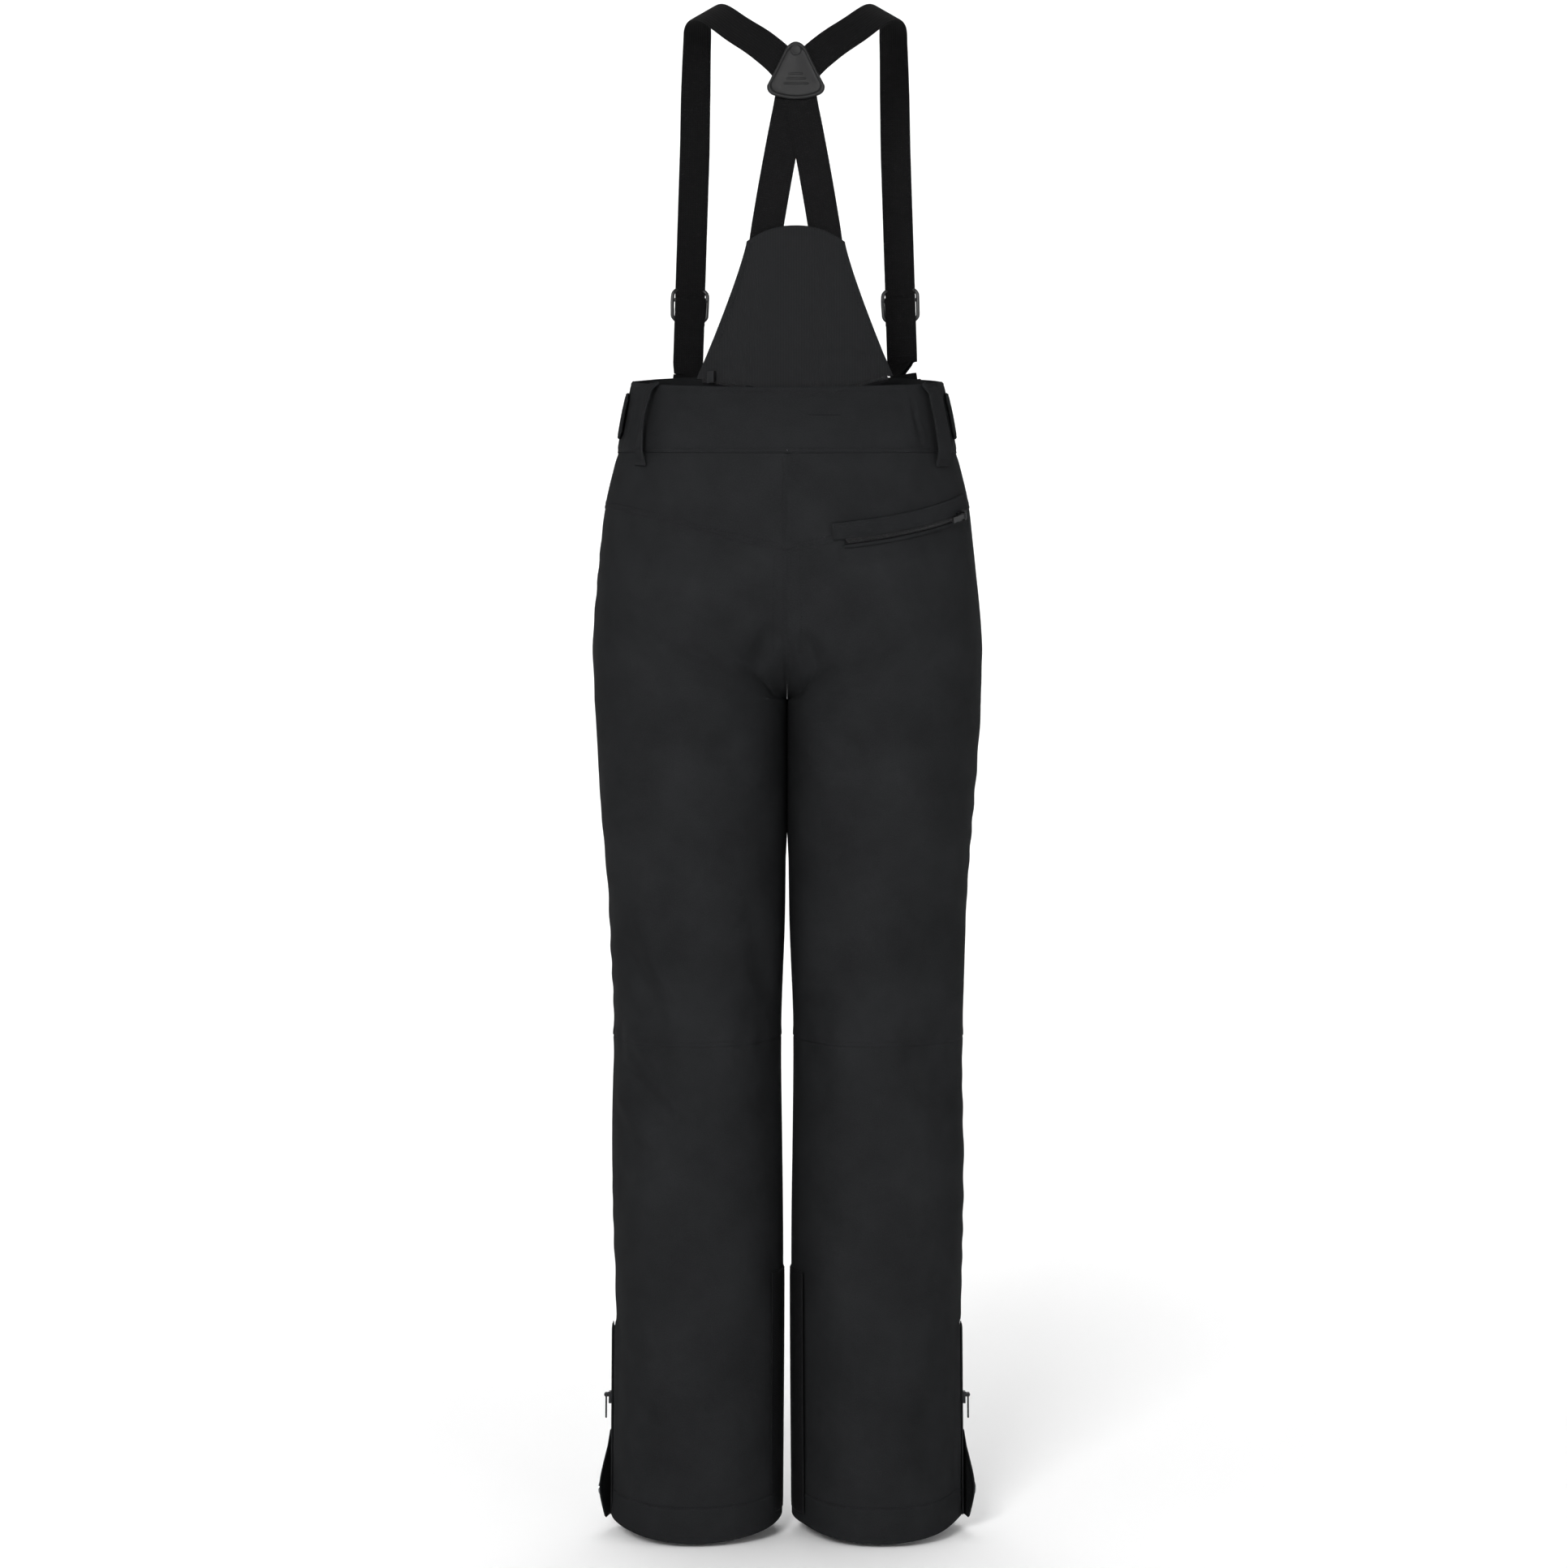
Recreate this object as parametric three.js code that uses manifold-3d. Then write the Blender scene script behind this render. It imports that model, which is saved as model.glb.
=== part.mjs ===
// Full-length ski pants with a stretch back bib and crossed suspenders.
// Millimetres, +Z up, +Y to the front of the pants, +X to the wearer's right hand.
// The origin is in the middle of the waist, level with the top of the waistband at the sides.
import * as THREE from "three";
import { mergeVertices } from "three/addons/utils/BufferGeometryUtils.js";
import Module from "manifold-3d";

// ---- driving dimensions -------------------------------------------------------------------
const cloth = 2.0; // bonded softshell with its turned seam allowance
const seam = 0.6; // clearance between two neighbouring panels
const skin = 0.5; // clearance between pieces that lie on each other

const waistHalf = 149; // half width at the waist
const waistDepth = 108; // half depth at the waist
const hipHalf = 187; // half width at the fullest part of the hips
const hipDepth = 124;
const hipZ = -245; // height of the fullest part
const crotchZ = -306;
const kneeZ = -628;
const hemZ = -1100;
const thighHalf = 89; // half width of one leg just below the crotch
const thighDepth = 115;
const kneeHalf = 80.5;
const kneeDepth = 86;
const calfHalf = 82.5;
const calfDepth = 88;
const hemHalf = 81;
const hemDepth = 86;
const legGap = 0.9; // half of the gap between the legs at the crotch
const legGapKnee = 6.2; // and at the knee

const bandHeight = 69; // waistband at the side
const bandTilt = 17; // the front of the waistband's top edge stands higher than the side, the back lower
const bandSeamTilt = 10;
const yokeSide = -123; // yoke seam at the side seams
const yokeBack = -170; // and at the centre back

const webWidth = 30;
const webThick = 1.6;
const braceShift = 8; // the suspenders hang a little to the wearer's right
const braceFoot = 106; // front straps, from the middle
const braceChest = 99;
const crestZ = 357; // top of the shoulder
const patchZ = 275; // centre of the cross patch
const patchSize = 52;
const bibTopZ = 133;
const bibTopHalf = 46;
const bibFootHalf = 88;

const coilWidth = 5.4;
const coilHeight = 2.2;
const tapeWidth = 15;
const tapeThick = 1.0;

// ---- colours --------------------------------------------------------------------------------
const look = (color, roughness, metalness = 0) => ({ color, roughness, metalness });
const FABRIC = look(0x212224, 0.86);
const YOKE = look(0x232426, 0.86);
const STRETCH = look(0x1e1f21, 0.9);
const WEB = look(0x121213, 0.95);
const TRIM = look(0x17181a, 0.8);
const MOULD = look(0x3b3b3c, 0.6);
const PLASTIC = look(0x141415, 0.3);
const COIL = look(0x0e0e0f, 0.55);
const METAL = look(0x8d8f92, 0.32, 0.9);
const LINER = look(0x1a1b1d, 0.7);

const wasm = await Module();
wasm.setup();
const part = new THREE.Group();
part.name = "ski_pants";

// ---- solids and sweeps --------------------------------------------------------------------
function toSolid(geometry) {
  const bare = (geometry.index ? geometry.toNonIndexed() : geometry).clone();
  for (const key of Object.keys(bare.attributes)) if (key !== "position") bare.deleteAttribute(key);
  const merged = mergeVertices(bare, 1e-4);
  return new wasm.Manifold(
    new wasm.Mesh({
      numProp: 3,
      vertProperties: merged.attributes.position.array,
      triVerts: new Uint32Array(merged.index.array),
    }),
  );
}

function toGeometry(solid) {
  const mesh = solid.getMesh();
  const points = new Float32Array(mesh.numVert * 3);
  for (let i = 0; i < mesh.numVert; i++) {
    points.set(mesh.vertProperties.subarray(i * mesh.numProp, i * mesh.numProp + 3), i * 3);
  }
  return new THREE.BufferGeometry()
    .setAttribute("position", new THREE.BufferAttribute(points, 3))
    .setIndex(new THREE.BufferAttribute(mesh.triVerts, 1));
}

const join = (first, ...rest) => toGeometry(rest.reduce((sum, g) => sum.add(toSolid(g)), toSolid(first)));
const cut = (body, ...tools) => toGeometry(tools.reduce((left, g) => left.subtract(toSolid(g)), toSolid(body)));

function add(name, geometry, style) {
  const flat = geometry.index ? geometry.toNonIndexed() : geometry;
  flat.computeVertexNormals();
  const material = new THREE.MeshStandardMaterial(style);
  const mesh = new THREE.Mesh(flat, material);
  mesh.name = name;
  part.add(mesh);
  return mesh;
}

// A closed sheet: point(s, t) gives the outer face for s and t from 0 to 1, and the sheet is as
// thick as `thick` towards the inside. turn is -1 when s runs the other way round, closed joins
// the two ends of s, and no point of the inner face is below `lowest`.
function sheet(point, ns, nt, thick, { turn = 1, closed = false, lowest = -Infinity } = {}) {
  const e = 1e-3;
  const outer = [];
  const inner = [];
  for (let j = 0; j <= nt; j++) {
    for (let i = 0; i <= ns; i++) {
      const s = i / ns;
      const t = j / nt;
      const p = point(s, t);
      const ds = closed
        ? point(s + e, t).sub(point(s - e, t))
        : point(Math.min(s + e, 1), t).sub(point(Math.max(s - e, 0), t));
      const dt = point(s, Math.min(t + e, 1)).sub(point(s, Math.max(t - e, 0)));
      const normal = dt.cross(ds).normalize().multiplyScalar(turn);
      outer.push(p);
      const back = p.clone().addScaledVector(normal, -thick);
      back.z = Math.max(back.z, lowest);
      inner.push(back);
    }
  }
  const points = [...outer, ...inner];
  const row = ns + 1;
  const half = outer.length;
  const index = [];
  const quad = (a, b, c, d) => (turn > 0 ? index.push(a, b, c, a, c, d) : index.push(a, c, b, a, d, c));
  for (let j = 0; j < nt; j++) {
    for (let i = 0; i < ns; i++) {
      const a = j * row + i;
      quad(a, a + row, a + row + 1, a + 1);
      quad(half + a, half + a + 1, half + a + row + 1, half + a + row);
    }
    if (closed) continue;
    const left = j * row;
    const right = j * row + ns;
    quad(left, half + left, half + left + row, left + row);
    quad(right, right + row, half + right + row, half + right);
  }
  for (let i = 0; i < ns; i++) {
    const last = nt * row + i;
    quad(i, i + 1, half + i + 1, half + i);
    quad(last, half + last, half + last + 1, last + 1);
  }
  const flat = new Float32Array(points.flatMap((p) => [p.x, p.y, p.z]));
  return new THREE.BufferGeometry().setAttribute("position", new THREE.BufferAttribute(flat, 3)).setIndex(index);
}

// A box with its centre at a place, turned so that its own X, Y and Z follow three directions.
function box(size, centre, across = [1, 0, 0], up = [0, 0, 1]) {
  const z = new THREE.Vector3(...up).normalize();
  const x = new THREE.Vector3(...across).addScaledVector(z, -z.dot(new THREE.Vector3(...across))).normalize();
  const y = z.clone().cross(x);
  const frame = new THREE.Matrix4().makeBasis(x, y, z).setPosition(...centre);
  return new THREE.BoxGeometry(...size).applyMatrix4(frame);
}

// ---- the shape of the pants ----------------------------------------------------------------
const mix = (a, b, t) => a + (b - a) * t;
const clamp = (v) => Math.min(1, Math.max(0, v));
const ease = (v) => clamp(v) * clamp(v) * (3 - 2 * clamp(v));

// A smooth curve through stations [height, value], flat outside them.
function along(stations, z) {
  if (z >= stations[0][0]) return stations[0][1];
  const last = stations.length - 1;
  if (z <= stations[last][0]) return stations[last][1];
  const k = stations.findIndex((s) => z > s[0]) - 1;
  const [z0, v0] = stations[k];
  const [z1, v1] = stations[k + 1];
  const before = stations[Math.max(k - 1, 0)];
  const after = stations[Math.min(k + 2, last)];
  const span = z1 - z0;
  const m0 = k === 0 ? (v1 - v0) / span : (v1 - before[1]) / (z1 - before[0]);
  const m1 = k + 1 === last ? (v1 - v0) / span : (after[1] - v0) / (after[0] - z0);
  const t = (z - z0) / span;
  const a = t * t * (3 - 2 * t);
  const b = t * (t - 1) * (t - 1) * span;
  const c = t * t * (t - 1) * span;
  return mix(v0, v1, a) + m0 * b + m1 * c;
}

const bandFootZ = -bandHeight;
const bodyHalf = [
  [20, waistHalf - 3],
  [0, waistHalf],
  [bandFootZ, mix(waistHalf, hipHalf, 0.36)],
  [yokeSide, mix(waistHalf, hipHalf, 0.68)],
  [hipZ, hipHalf],
  [crotchZ - 20, hipHalf - 2],
];
const bodyDepth = [
  [20, waistDepth - 2],
  [0, waistDepth],
  [bandFootZ, mix(waistDepth, hipDepth, 0.5)],
  [hipZ, hipDepth],
  [crotchZ - 20, hipDepth - 2],
];
const legHalf = [
  [crotchZ, thighHalf + 3],
  [crotchZ - 90, thighHalf],
  [crotchZ - 220, thighHalf - 5],
  [kneeZ, kneeHalf],
  [kneeZ - 130, calfHalf],
  [hemZ + 200, hemHalf],
  [hemZ, hemHalf],
];
const legDepth = [
  [crotchZ, thighDepth],
  [crotchZ - 150, thighDepth - 12],
  [kneeZ, kneeDepth],
  [kneeZ - 150, calfDepth],
  [hemZ + 200, hemDepth],
  [hemZ, hemDepth],
];
const legInner = [
  [crotchZ, legGap],
  [crotchZ - 200, legGap + 1.2],
  [kneeZ, legGapKnee],
  [kneeZ - 200, legGapKnee - 2],
  [hemZ, legGapKnee - 0.5],
];

const crotchRise = 150; // the section starts to close this far above the crotch

// Half of the body above the crotch: a runs from the centre back (0) round the side (0.5) to
// the centre front (1). Near the crotch the section closes into the round of the leg.
function halfBody(a, z) {
  const turn = Math.PI * a;
  const hw = along(bodyHalf, z);
  const hd = along(bodyDepth, z);
  const rise = clamp((z - crotchZ) / crotchRise);
  const closed = 1 - Math.sqrt(rise * (2 - rise));
  const squarer = mix(0.56, 0.86, rise); // a lower power makes the oval squarer
  const ovalX = hw * Math.sin(turn) ** mix(0.7, 0.86, rise);
  const c = -Math.cos(turn);
  const ovalY = hd * Math.sign(c) * Math.abs(c) ** squarer;
  const leg = legSection(a, crotchZ);
  return new THREE.Vector3(mix(ovalX, leg.x, closed), mix(ovalY, leg.y, closed), z);
}

// One leg: a runs from the inner seam over the back, outside and front to the inner seam.
function legSection(a, z) {
  const turn = Math.PI * 2 * a;
  const hw = along(legHalf, z);
  const hd = along(legDepth, z);
  const inner = along(legInner, z);
  return new THREE.Vector3(inner + hw - hw * Math.cos(turn), -hd * Math.sin(turn), z);
}

const surface = (a, z) => (z > crotchZ ? halfBody(a, z) : legSection(a, z));

// The outward direction of the surface.
function outward(a, z) {
  const e = 1e-3;
  // Above the crotch the half section has two ends.
  const ends = z > crotchZ ? [Math.max(a - e, 0), Math.min(a + e, 1)] : [a - e, a + e];
  const da = surface(ends[1], z).sub(surface(ends[0], z));
  const dz = surface(a, z - 1).sub(surface(a, z + 1));
  return dz.cross(da).normalize();
}
const sides = [
  ["left", -1],
  ["right", 1],
];
const flip = (p, side) => new THREE.Vector3(p.x * side, p.y, p.z);

const bandTop = (a) => -bandTilt * Math.cos(Math.PI * a);
const bandFoot = (a) => bandFootZ - bandSeamTilt * Math.cos(Math.PI * a);
const yokeSeam = (a) => mix(yokeBack, yokeSide, Math.sin(Math.PI * Math.min(a, 0.5)));

// A panel of one half. Its edges are a0 to a1 round the body and top(a) to foot(a) down it.
// lift raises it off the common surface.
function halfPanel(side, a0, a1, top, foot, ns, nt, { lift = 0, thick = cloth, bend = (t) => t, lowest } = {}) {
  const point = (s, t) => {
    const a = mix(a0, a1, s);
    const z = mix(top(a), foot(a), bend(t));
    const p = surface(a, z);
    if (lift) p.addScaledVector(outward(a, z), lift);
    return flip(p, side);
  };
  return sheet(point, ns, nt, thick, { turn: side, lowest });
}

// A panel across the centre back or centre front; u is minus a on the left side.
function crossPanel(u0, u1, top, foot, ns, nt, lift = 0, thick = cloth) {
  const point = (s, t) => {
    const u = mix(u0, u1, s);
    const a = Math.abs(u);
    const z = mix(top(a), foot(a), t);
    const p = surface(Math.max(a, 1e-6), z);
    if (lift) p.addScaledVector(outward(Math.max(a, 2e-3), z), lift);
    if (a < 1e-6) p.x = 0;
    return flip(p, u < 0 ? -1 : 1);
  };
  return sheet(point, ns, nt, thick);
}

const gapA = seam / 2 / 390; // half a seam as a share of the way round one half of the body
const gapLeg = seam / 2 / 530;
const gapCentre = 0.00035; // at the centre back and front, where the section runs square to the middle

// ---- waistband, yoke, seat and fronts -------------------------------------------------------
const bandLift = 0.6; // the waistband stands a little proud of the panels
const bandThick = 3.2;
const above = (edge) => (a) => edge(a) + seam / 2;
const below = (edge) => (a) => edge(a) - seam / 2;

function waistband() {
  const foot = above(bandFoot);
  add("waistband_back", crossPanel(-0.5 + gapA, 0.5 - gapA, bandTop, foot, 30, 3, bandLift, bandThick), YOKE);
  for (const [name, side] of sides) {
    const band = halfPanel(side, 0.5 + gapA, 1 - gapCentre, bandTop, foot, 14, 3, {
      lift: bandLift,
      thick: bandThick,
    });
    add(`waistband_front_${name}`, band, YOKE);
  }
}

// Places and directions that the zips share with the windows cut for them.
function straightTrack(side, a, topZ, footZ) {
  const top = flip(surface(a, topZ), side);
  const foot = flip(surface(a, footZ), side);
  if (a === 1) {
    top.x = 0;
    foot.x = 0;
  }
  const down = foot.clone().sub(top).normalize();
  const out = flip(outward(Math.min(a, 0.998), (topZ + footZ) / 2), side);
  if (a === 1) out.x = 0;
  out.addScaledVector(down, -out.dot(down)).normalize();
  return { top, foot, down, out, across: out.clone().cross(down), length: top.distanceTo(foot) };
}

const flyTrack = straightTrack(1, 1, -84, -212);
const handTracks = sides.map(([, side]) => straightTrack(side, 0.67, -98, -238));
const ankleTracks = sides.map(([, side]) => straightTrack(side, 0.5, -908, -1084));

// The back pocket zip follows a circle round the right hip, through three points of the surface.
const pocketInner = surface(0.078, -161);
const pocketMiddle = surface(0.215, -149);
const pocketOuter = surface(0.41, -128);
function circleThrough(p, q, r) {
  const axis = q.clone().sub(p).cross(r.clone().sub(p)).normalize();
  const u = q.clone().sub(p);
  const v = r.clone().sub(p);
  const w = u.clone().cross(v);
  const centre = w.clone().cross(u).multiplyScalar(v.lengthSq());
  centre.add(v.clone().cross(w).multiplyScalar(u.lengthSq())).divideScalar(2 * w.lengthSq()).add(p);
  return { centre, axis, radius: centre.distanceTo(p) };
}
const pocketArc = circleThrough(pocketInner, pocketMiddle, pocketOuter);
const arcStart = pocketInner.clone().sub(pocketArc.centre).normalize();
const arcSide = pocketArc.axis.clone().cross(arcStart);
const arcAngle = (p) => {
  const v = p.clone().sub(pocketArc.centre);
  return Math.atan2(v.dot(arcSide), v.dot(arcStart));
};
const pocketSweep = arcAngle(pocketOuter);
function onArc(angle, radius, height) {
  return pocketArc.centre
    .clone()
    .addScaledVector(arcStart, radius * Math.cos(angle))
    .addScaledVector(arcSide, radius * Math.sin(angle))
    .addScaledVector(pocketArc.axis, height);
}
// A strip of the pocket's circle: its outer face at a radius, h0 to h1 along the circle's axis.
function arcStrip(angle0, angle1, radius, h0, h1, thick, n) {
  const point = (s, t) => onArc(mix(angle0, angle1, s), radius, mix(h1, h0, t));
  return sheet(point, n, 1, thick);
}

const windowDepth = 16;
const trackMiddle = (track) => track.top.clone().lerp(track.foot, 0.5);
function trackBox(track, width, deep, lift, extra = 0) {
  const centre = trackMiddle(track).addScaledVector(track.out, lift);
  return box(
    [width, deep, track.length + extra],
    centre.toArray(),
    track.across.toArray(),
    track.down.clone().negate().toArray(),
  );
}
const windowFor = (track) => trackBox(track, tapeWidth + 2 * skin, windowDepth, 0, 2 * skin);
const pocketEnd = skin / pocketArc.radius;
const pocketWindow = (below, above) =>
  arcStrip(
    -pocketEnd,
    pocketSweep + pocketEnd,
    pocketArc.radius + windowDepth / 2,
    -tapeWidth / 2 - skin - below,
    tapeWidth / 2 + skin + above,
    windowDepth,
    24,
  );

function bodyPanels() {
  const yoke = crossPanel(-0.5 + gapA, 0.5 - gapA, below(bandFoot), above(yokeSeam), 36, 4);
  add("back_yoke", cut(yoke, pocketWindow(8, 0)), YOKE);
  const down = () => crotchZ + seam / 2;
  // Rows are packed towards the crotch, where the surface turns under.
  const style = { bend: (t) => Math.sin((t * Math.PI) / 2), lowest: down() };
  for (const [k, [name, side]] of sides.entries()) {
    const seat = halfPanel(side, gapCentre, 0.5 - gapA, below(yokeSeam), down, 14, 12, style);
    add(`seat_${name}`, side > 0 ? cut(seat, pocketWindow(0, 8)) : seat, FABRIC);
    const front = halfPanel(side, 0.5 + gapA, 1 - gapCentre, below(bandFoot), down, 14, 14, style);
    add(`front_${name}`, cut(front, windowFor(flyTrack), windowFor(handTracks[k])), FABRIC);
  }
}

// ---- legs ------------------------------------------------------------------------------------
function legs() {
  const level = (z) => () => z;
  for (const [k, [name, side]] of sides.entries()) {
    for (const [face, a0, a1] of [
      ["back", gapLeg, 0.5 - gapLeg],
      ["front", 0.5 + gapLeg, 1 - gapLeg],
    ]) {
      const thigh = halfPanel(side, a0, a1, level(crotchZ - seam / 2), level(kneeZ + seam / 2), 12, 6);
      add(`thigh_${face}_${name}`, thigh, FABRIC);
      const shin = halfPanel(side, a0, a1, level(kneeZ - seam / 2), level(hemZ), 12, 7);
      add(`shin_${face}_${name}`, cut(shin, windowFor(ankleTracks[k])), FABRIC);
    }
  }
}

// Scuff guards on the inner ankles. They wrap the inner seam, a from -guardWrap to guardWrap.
const guardWrap = 0.085;
const guardTopZ = -850;
const guardFootZ = -1080;
function scuffGuards() {
  const thick = 1.2;
  for (const [name, side] of sides) {
    const point = (s, t) => {
      const a = mix(-guardWrap, guardWrap, s);
      const z = mix(guardTopZ, guardFootZ, t);
      return flip(legSection(a, z).addScaledVector(outward(a, z), skin + thick), side);
    };
    add(`scuff_guard_${name}`, sheet(point, 8, 4, thick, { turn: side }), TRIM);
  }
}

// Snow gaiters hang inside the cuffs from a line of stitches at their top.
const gaiterTopZ = -930;
const gaiterFootZ = -1086;
const gaiterWaist = 9; // how far the gaiter stands in from the leg
function gaiters() {
  const thick = 1.2;
  for (const [name, side] of sides) {
    const point = (s, t) => {
      const z = mix(gaiterTopZ, gaiterFootZ, t);
      const inset = cloth + skin + 2 + gaiterWaist * ease(t * 2.5);
      return flip(legSection(s, z).addScaledVector(outward(s, z), -inset), side);
    };
    add(`snow_gaiter_${name}`, sheet(point, 28, 5, thick, { turn: side, closed: true }), LINER);
  }
}

// ---- zips ------------------------------------------------------------------------------------
const sliderLong = 11;
const sliderWall = 1.4;
const sliderGap = 0.4; // running clearance round the coil
const pinRadius = 0.7;
const pullerLong = 21;
const pullerWide = 5;
const pullerThick = 1.5;
const eyeRadius = 2.0;
const coilTop = tapeThick / 2 + coilHeight;
const channelTop = coilTop + sliderGap;
const plateTop = channelTop + sliderWall;
const pinHeight = plateTop + eyeRadius + 0.5;

// The slider lies with its length along +Z at the origin, with the tape's middle plane in XZ.
// It is a channel over the coil with two cheeks and a pin for the puller.
function sliderShape() {
  const half = coilWidth / 2 + sliderGap + sliderWall;
  const low = tapeThick / 2 + sliderGap;
  const bodyHigh = plateTop - low;
  const body = box([2 * half, bodyHigh, sliderLong], [0, low + bodyHigh / 2, 0]);
  const channel = box([coilWidth + 2 * sliderGap, channelTop - low + 2, sliderLong + 2], [0, channelTop - (channelTop - low + 2) / 2, 0]);
  const cheekX = pullerWide / 2 + 0.4 + 0.6;
  const cheekHigh = pinHeight + 1.2 - plateTop + 0.4;
  const cheeks = [-1, 1].map((s) =>
    box([1.2, cheekHigh, 3.2], [s * cheekX, plateTop - 0.4 + cheekHigh / 2, 2.5]),
  );
  const pin = new THREE.CylinderGeometry(pinRadius, pinRadius, 2 * cheekX, 12);
  pin.rotateZ(Math.PI / 2).translate(0, pinHeight, 2.5);
  return cut(join(body, ...cheeks, pin), channel);
}

// The puller hangs from the pin towards -Z and lies just above the slider's plate.
function pullerShape() {
  const eye = new THREE.CylinderGeometry(eyeRadius, eyeRadius, pullerWide, 16);
  eye.rotateZ(Math.PI / 2).translate(0, pinHeight, 2.5);
  const hole = new THREE.CylinderGeometry(pinRadius + 0.3, pinRadius + 0.3, pullerWide + 2, 16);
  hole.rotateZ(Math.PI / 2).translate(0, pinHeight, 2.5);
  const tongue = box([pullerWide, pullerThick, pullerLong], [0, pinHeight, 2.5 - pullerLong / 2 - pinRadius - 0.6]);
  return cut(join(eye, tongue), hole);
}

// Places a slider or a puller: its +Y along out, its +Z along up.
function place(geometry, at, out, up) {
  const across = out.clone().cross(up);
  return geometry.applyMatrix4(new THREE.Matrix4().makeBasis(across, out, up).setPosition(at));
}

const flyRest = 14; // each slider's distance from the top end of its zip
const handRest = 14;
const ankleRest = 68;
const pocketRest = 20; // from the outer end

function straightZip(name, track, rest, upwards) {
  const tape = trackBox(track, tapeWidth, tapeThick, 0);
  const coil = trackBox(track, coilWidth, coilHeight + 0.2, tapeThick / 2 + coilHeight / 2 - 0.1, -4);
  add(`${name}_zip_chain`, join(tape, coil), COIL);
  const at = track.top.clone().addScaledVector(track.down, rest);
  add(`${name}_zip_slider`, place(sliderShape(), at, track.out, upwards), METAL);
  add(`${name}_zip_puller`, place(pullerShape(), at, track.out, upwards), TRIM);
}

function zips() {
  straightZip("fly", flyTrack, flyRest, flyTrack.down.clone().negate());
  for (const [k, [name]] of sides.entries()) {
    straightZip(`hand_pocket_${name}`, handTracks[k], handRest, handTracks[k].down.clone().negate());
    straightZip(`ankle_${name}`, ankleTracks[k], ankleRest, ankleTracks[k].down.clone().negate());
  }
  const r = pocketArc.radius + tapeThick / 2;
  const tape = arcStrip(0, pocketSweep, r, -tapeWidth / 2, tapeWidth / 2, tapeThick, 24);
  const inset = 2 / r;
  const coil = arcStrip(inset, pocketSweep - inset, r + coilHeight, -coilWidth / 2, coilWidth / 2, coilHeight + 0.2, 24);
  add("back_pocket_zip_chain", join(tape, coil), COIL);
  const angle = pocketSweep - pocketRest / pocketArc.radius;
  const at = onArc(angle, pocketArc.radius, 0);
  const out = at.clone().sub(pocketArc.centre).normalize();
  const up = pocketArc.axis.clone().cross(out); // along the zip, towards its outer end
  add("back_pocket_zip_slider", place(sliderShape(), at, out, up), METAL);
  add("back_pocket_zip_puller", place(pullerShape(), at, out, up), TRIM);
}

// The welt above the back pocket's zip.
const weltHigh = 17;
function pocketWelt() {
  const lower = tapeWidth / 2 + skin + 0.4;
  const extend = 5 / pocketArc.radius;
  const point = (s, t) => {
    const angle = mix(-extend, pocketSweep + extend, s);
    const rough = onArc(angle, pocketArc.radius, mix(lower + weltHigh, lower, t));
    const near = placeAt(rough.x, rough.z);
    return surface(near, rough.z).addScaledVector(outward(near, rough.z), 2 * skin + cloth);
  };
  add("back_pocket_welt", sheet(point, 22, 2, cloth), YOKE);
}
// ---- belt loops, waist tabs, closure -----------------------------------------------------------
const loopA = 0.323;
const loopWide = 17;
const loopGap = 6.5; // room for a belt
const loopThick = 1.6;
function beltLoops() {
  const topZ = -12;
  const footZ = -86;
  for (const [name, side] of sides) {
    const top = flip(surface(loopA, topZ), side);
    const foot = flip(surface(loopA, footZ), side);
    const up = top.clone().sub(foot).normalize();
    const out = flip(outward(loopA, (topZ + footZ) / 2), side);
    out.addScaledVector(up, -out.dot(up)).normalize();
    const across = out.clone().cross(up);
    const middle = top.clone().lerp(foot, 0.5);
    const long = top.distanceTo(foot);
    const near = bandLift + 1.2;
    const strip = box(
      [loopWide, loopThick, long],
      middle.clone().addScaledVector(out, near + loopGap + loopThick / 2).toArray(),
      across.toArray(),
      up.toArray(),
    );
    const ends = [-1, 1].map((end) =>
      box(
        [loopWide, loopGap + 1, 7],
        middle
          .clone()
          .addScaledVector(up, end * (long / 2 - 3.5))
          .addScaledVector(out, near + (loopGap + 1) / 2)
          .toArray(),
        across.toArray(),
        up.toArray(),
      ),
    );
    add(`belt_loop_${name}`, join(strip, ...ends), FABRIC);
  }
}

const tabFree = 0.415; // free end of the waist tab, behind the side
const tabSewn = 0.6;
const tabThick = 2.2;
function waistTabs() {
  for (const [name, side] of sides) {
    const point = (s, t) => {
      const a = mix(tabFree, tabSewn, s);
      const z = mix(-12, -56, t) + bandTop(a) * 0.8;
      const lift = bandLift + skin + tabThick + 4 * (1 - ease(s / 0.45));
      return flip(surface(a, z).addScaledVector(outward(a, z), lift), side);
    };
    add(`waist_tab_${name}`, sheet(point, 8, 2, tabThick, { turn: side }), TRIM);
  }
}

function closure() {
  const wide = 0.045;
  const point = (s, t) => {
    const u = mix(-wide, wide, s);
    const a = 1 - Math.abs(u);
    const z = mix(bandTop(a) - 4, bandFoot(a) + 4, t);
    const p = surface(Math.min(a, 1 - 1e-6), z);
    p.addScaledVector(outward(Math.min(a, 0.997), z), bandLift + skin + 0.4 + 2);
    if (Math.abs(u) < 1e-6) p.x = 0;
    return flip(p, u < 0 ? 1 : -1);
  };
  add("closure_tab", sheet(point, 6, 3, 2), YOKE);
  const z = -24;
  const out = outward(0.997, z).setX(0).normalize();
  const at = surface(0.9995, z).setX(0).addScaledVector(out, bandLift + skin + 0.4 + 2 + 0.5 + 1);
  const cap = new THREE.CylinderGeometry(6.2, 7.5, 2, 24);
  cap.applyQuaternion(new THREE.Quaternion().setFromUnitVectors(new THREE.Vector3(0, 1, 0), out));
  add("closure_snap", cap.translate(...at.toArray()), METAL);
}

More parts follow.
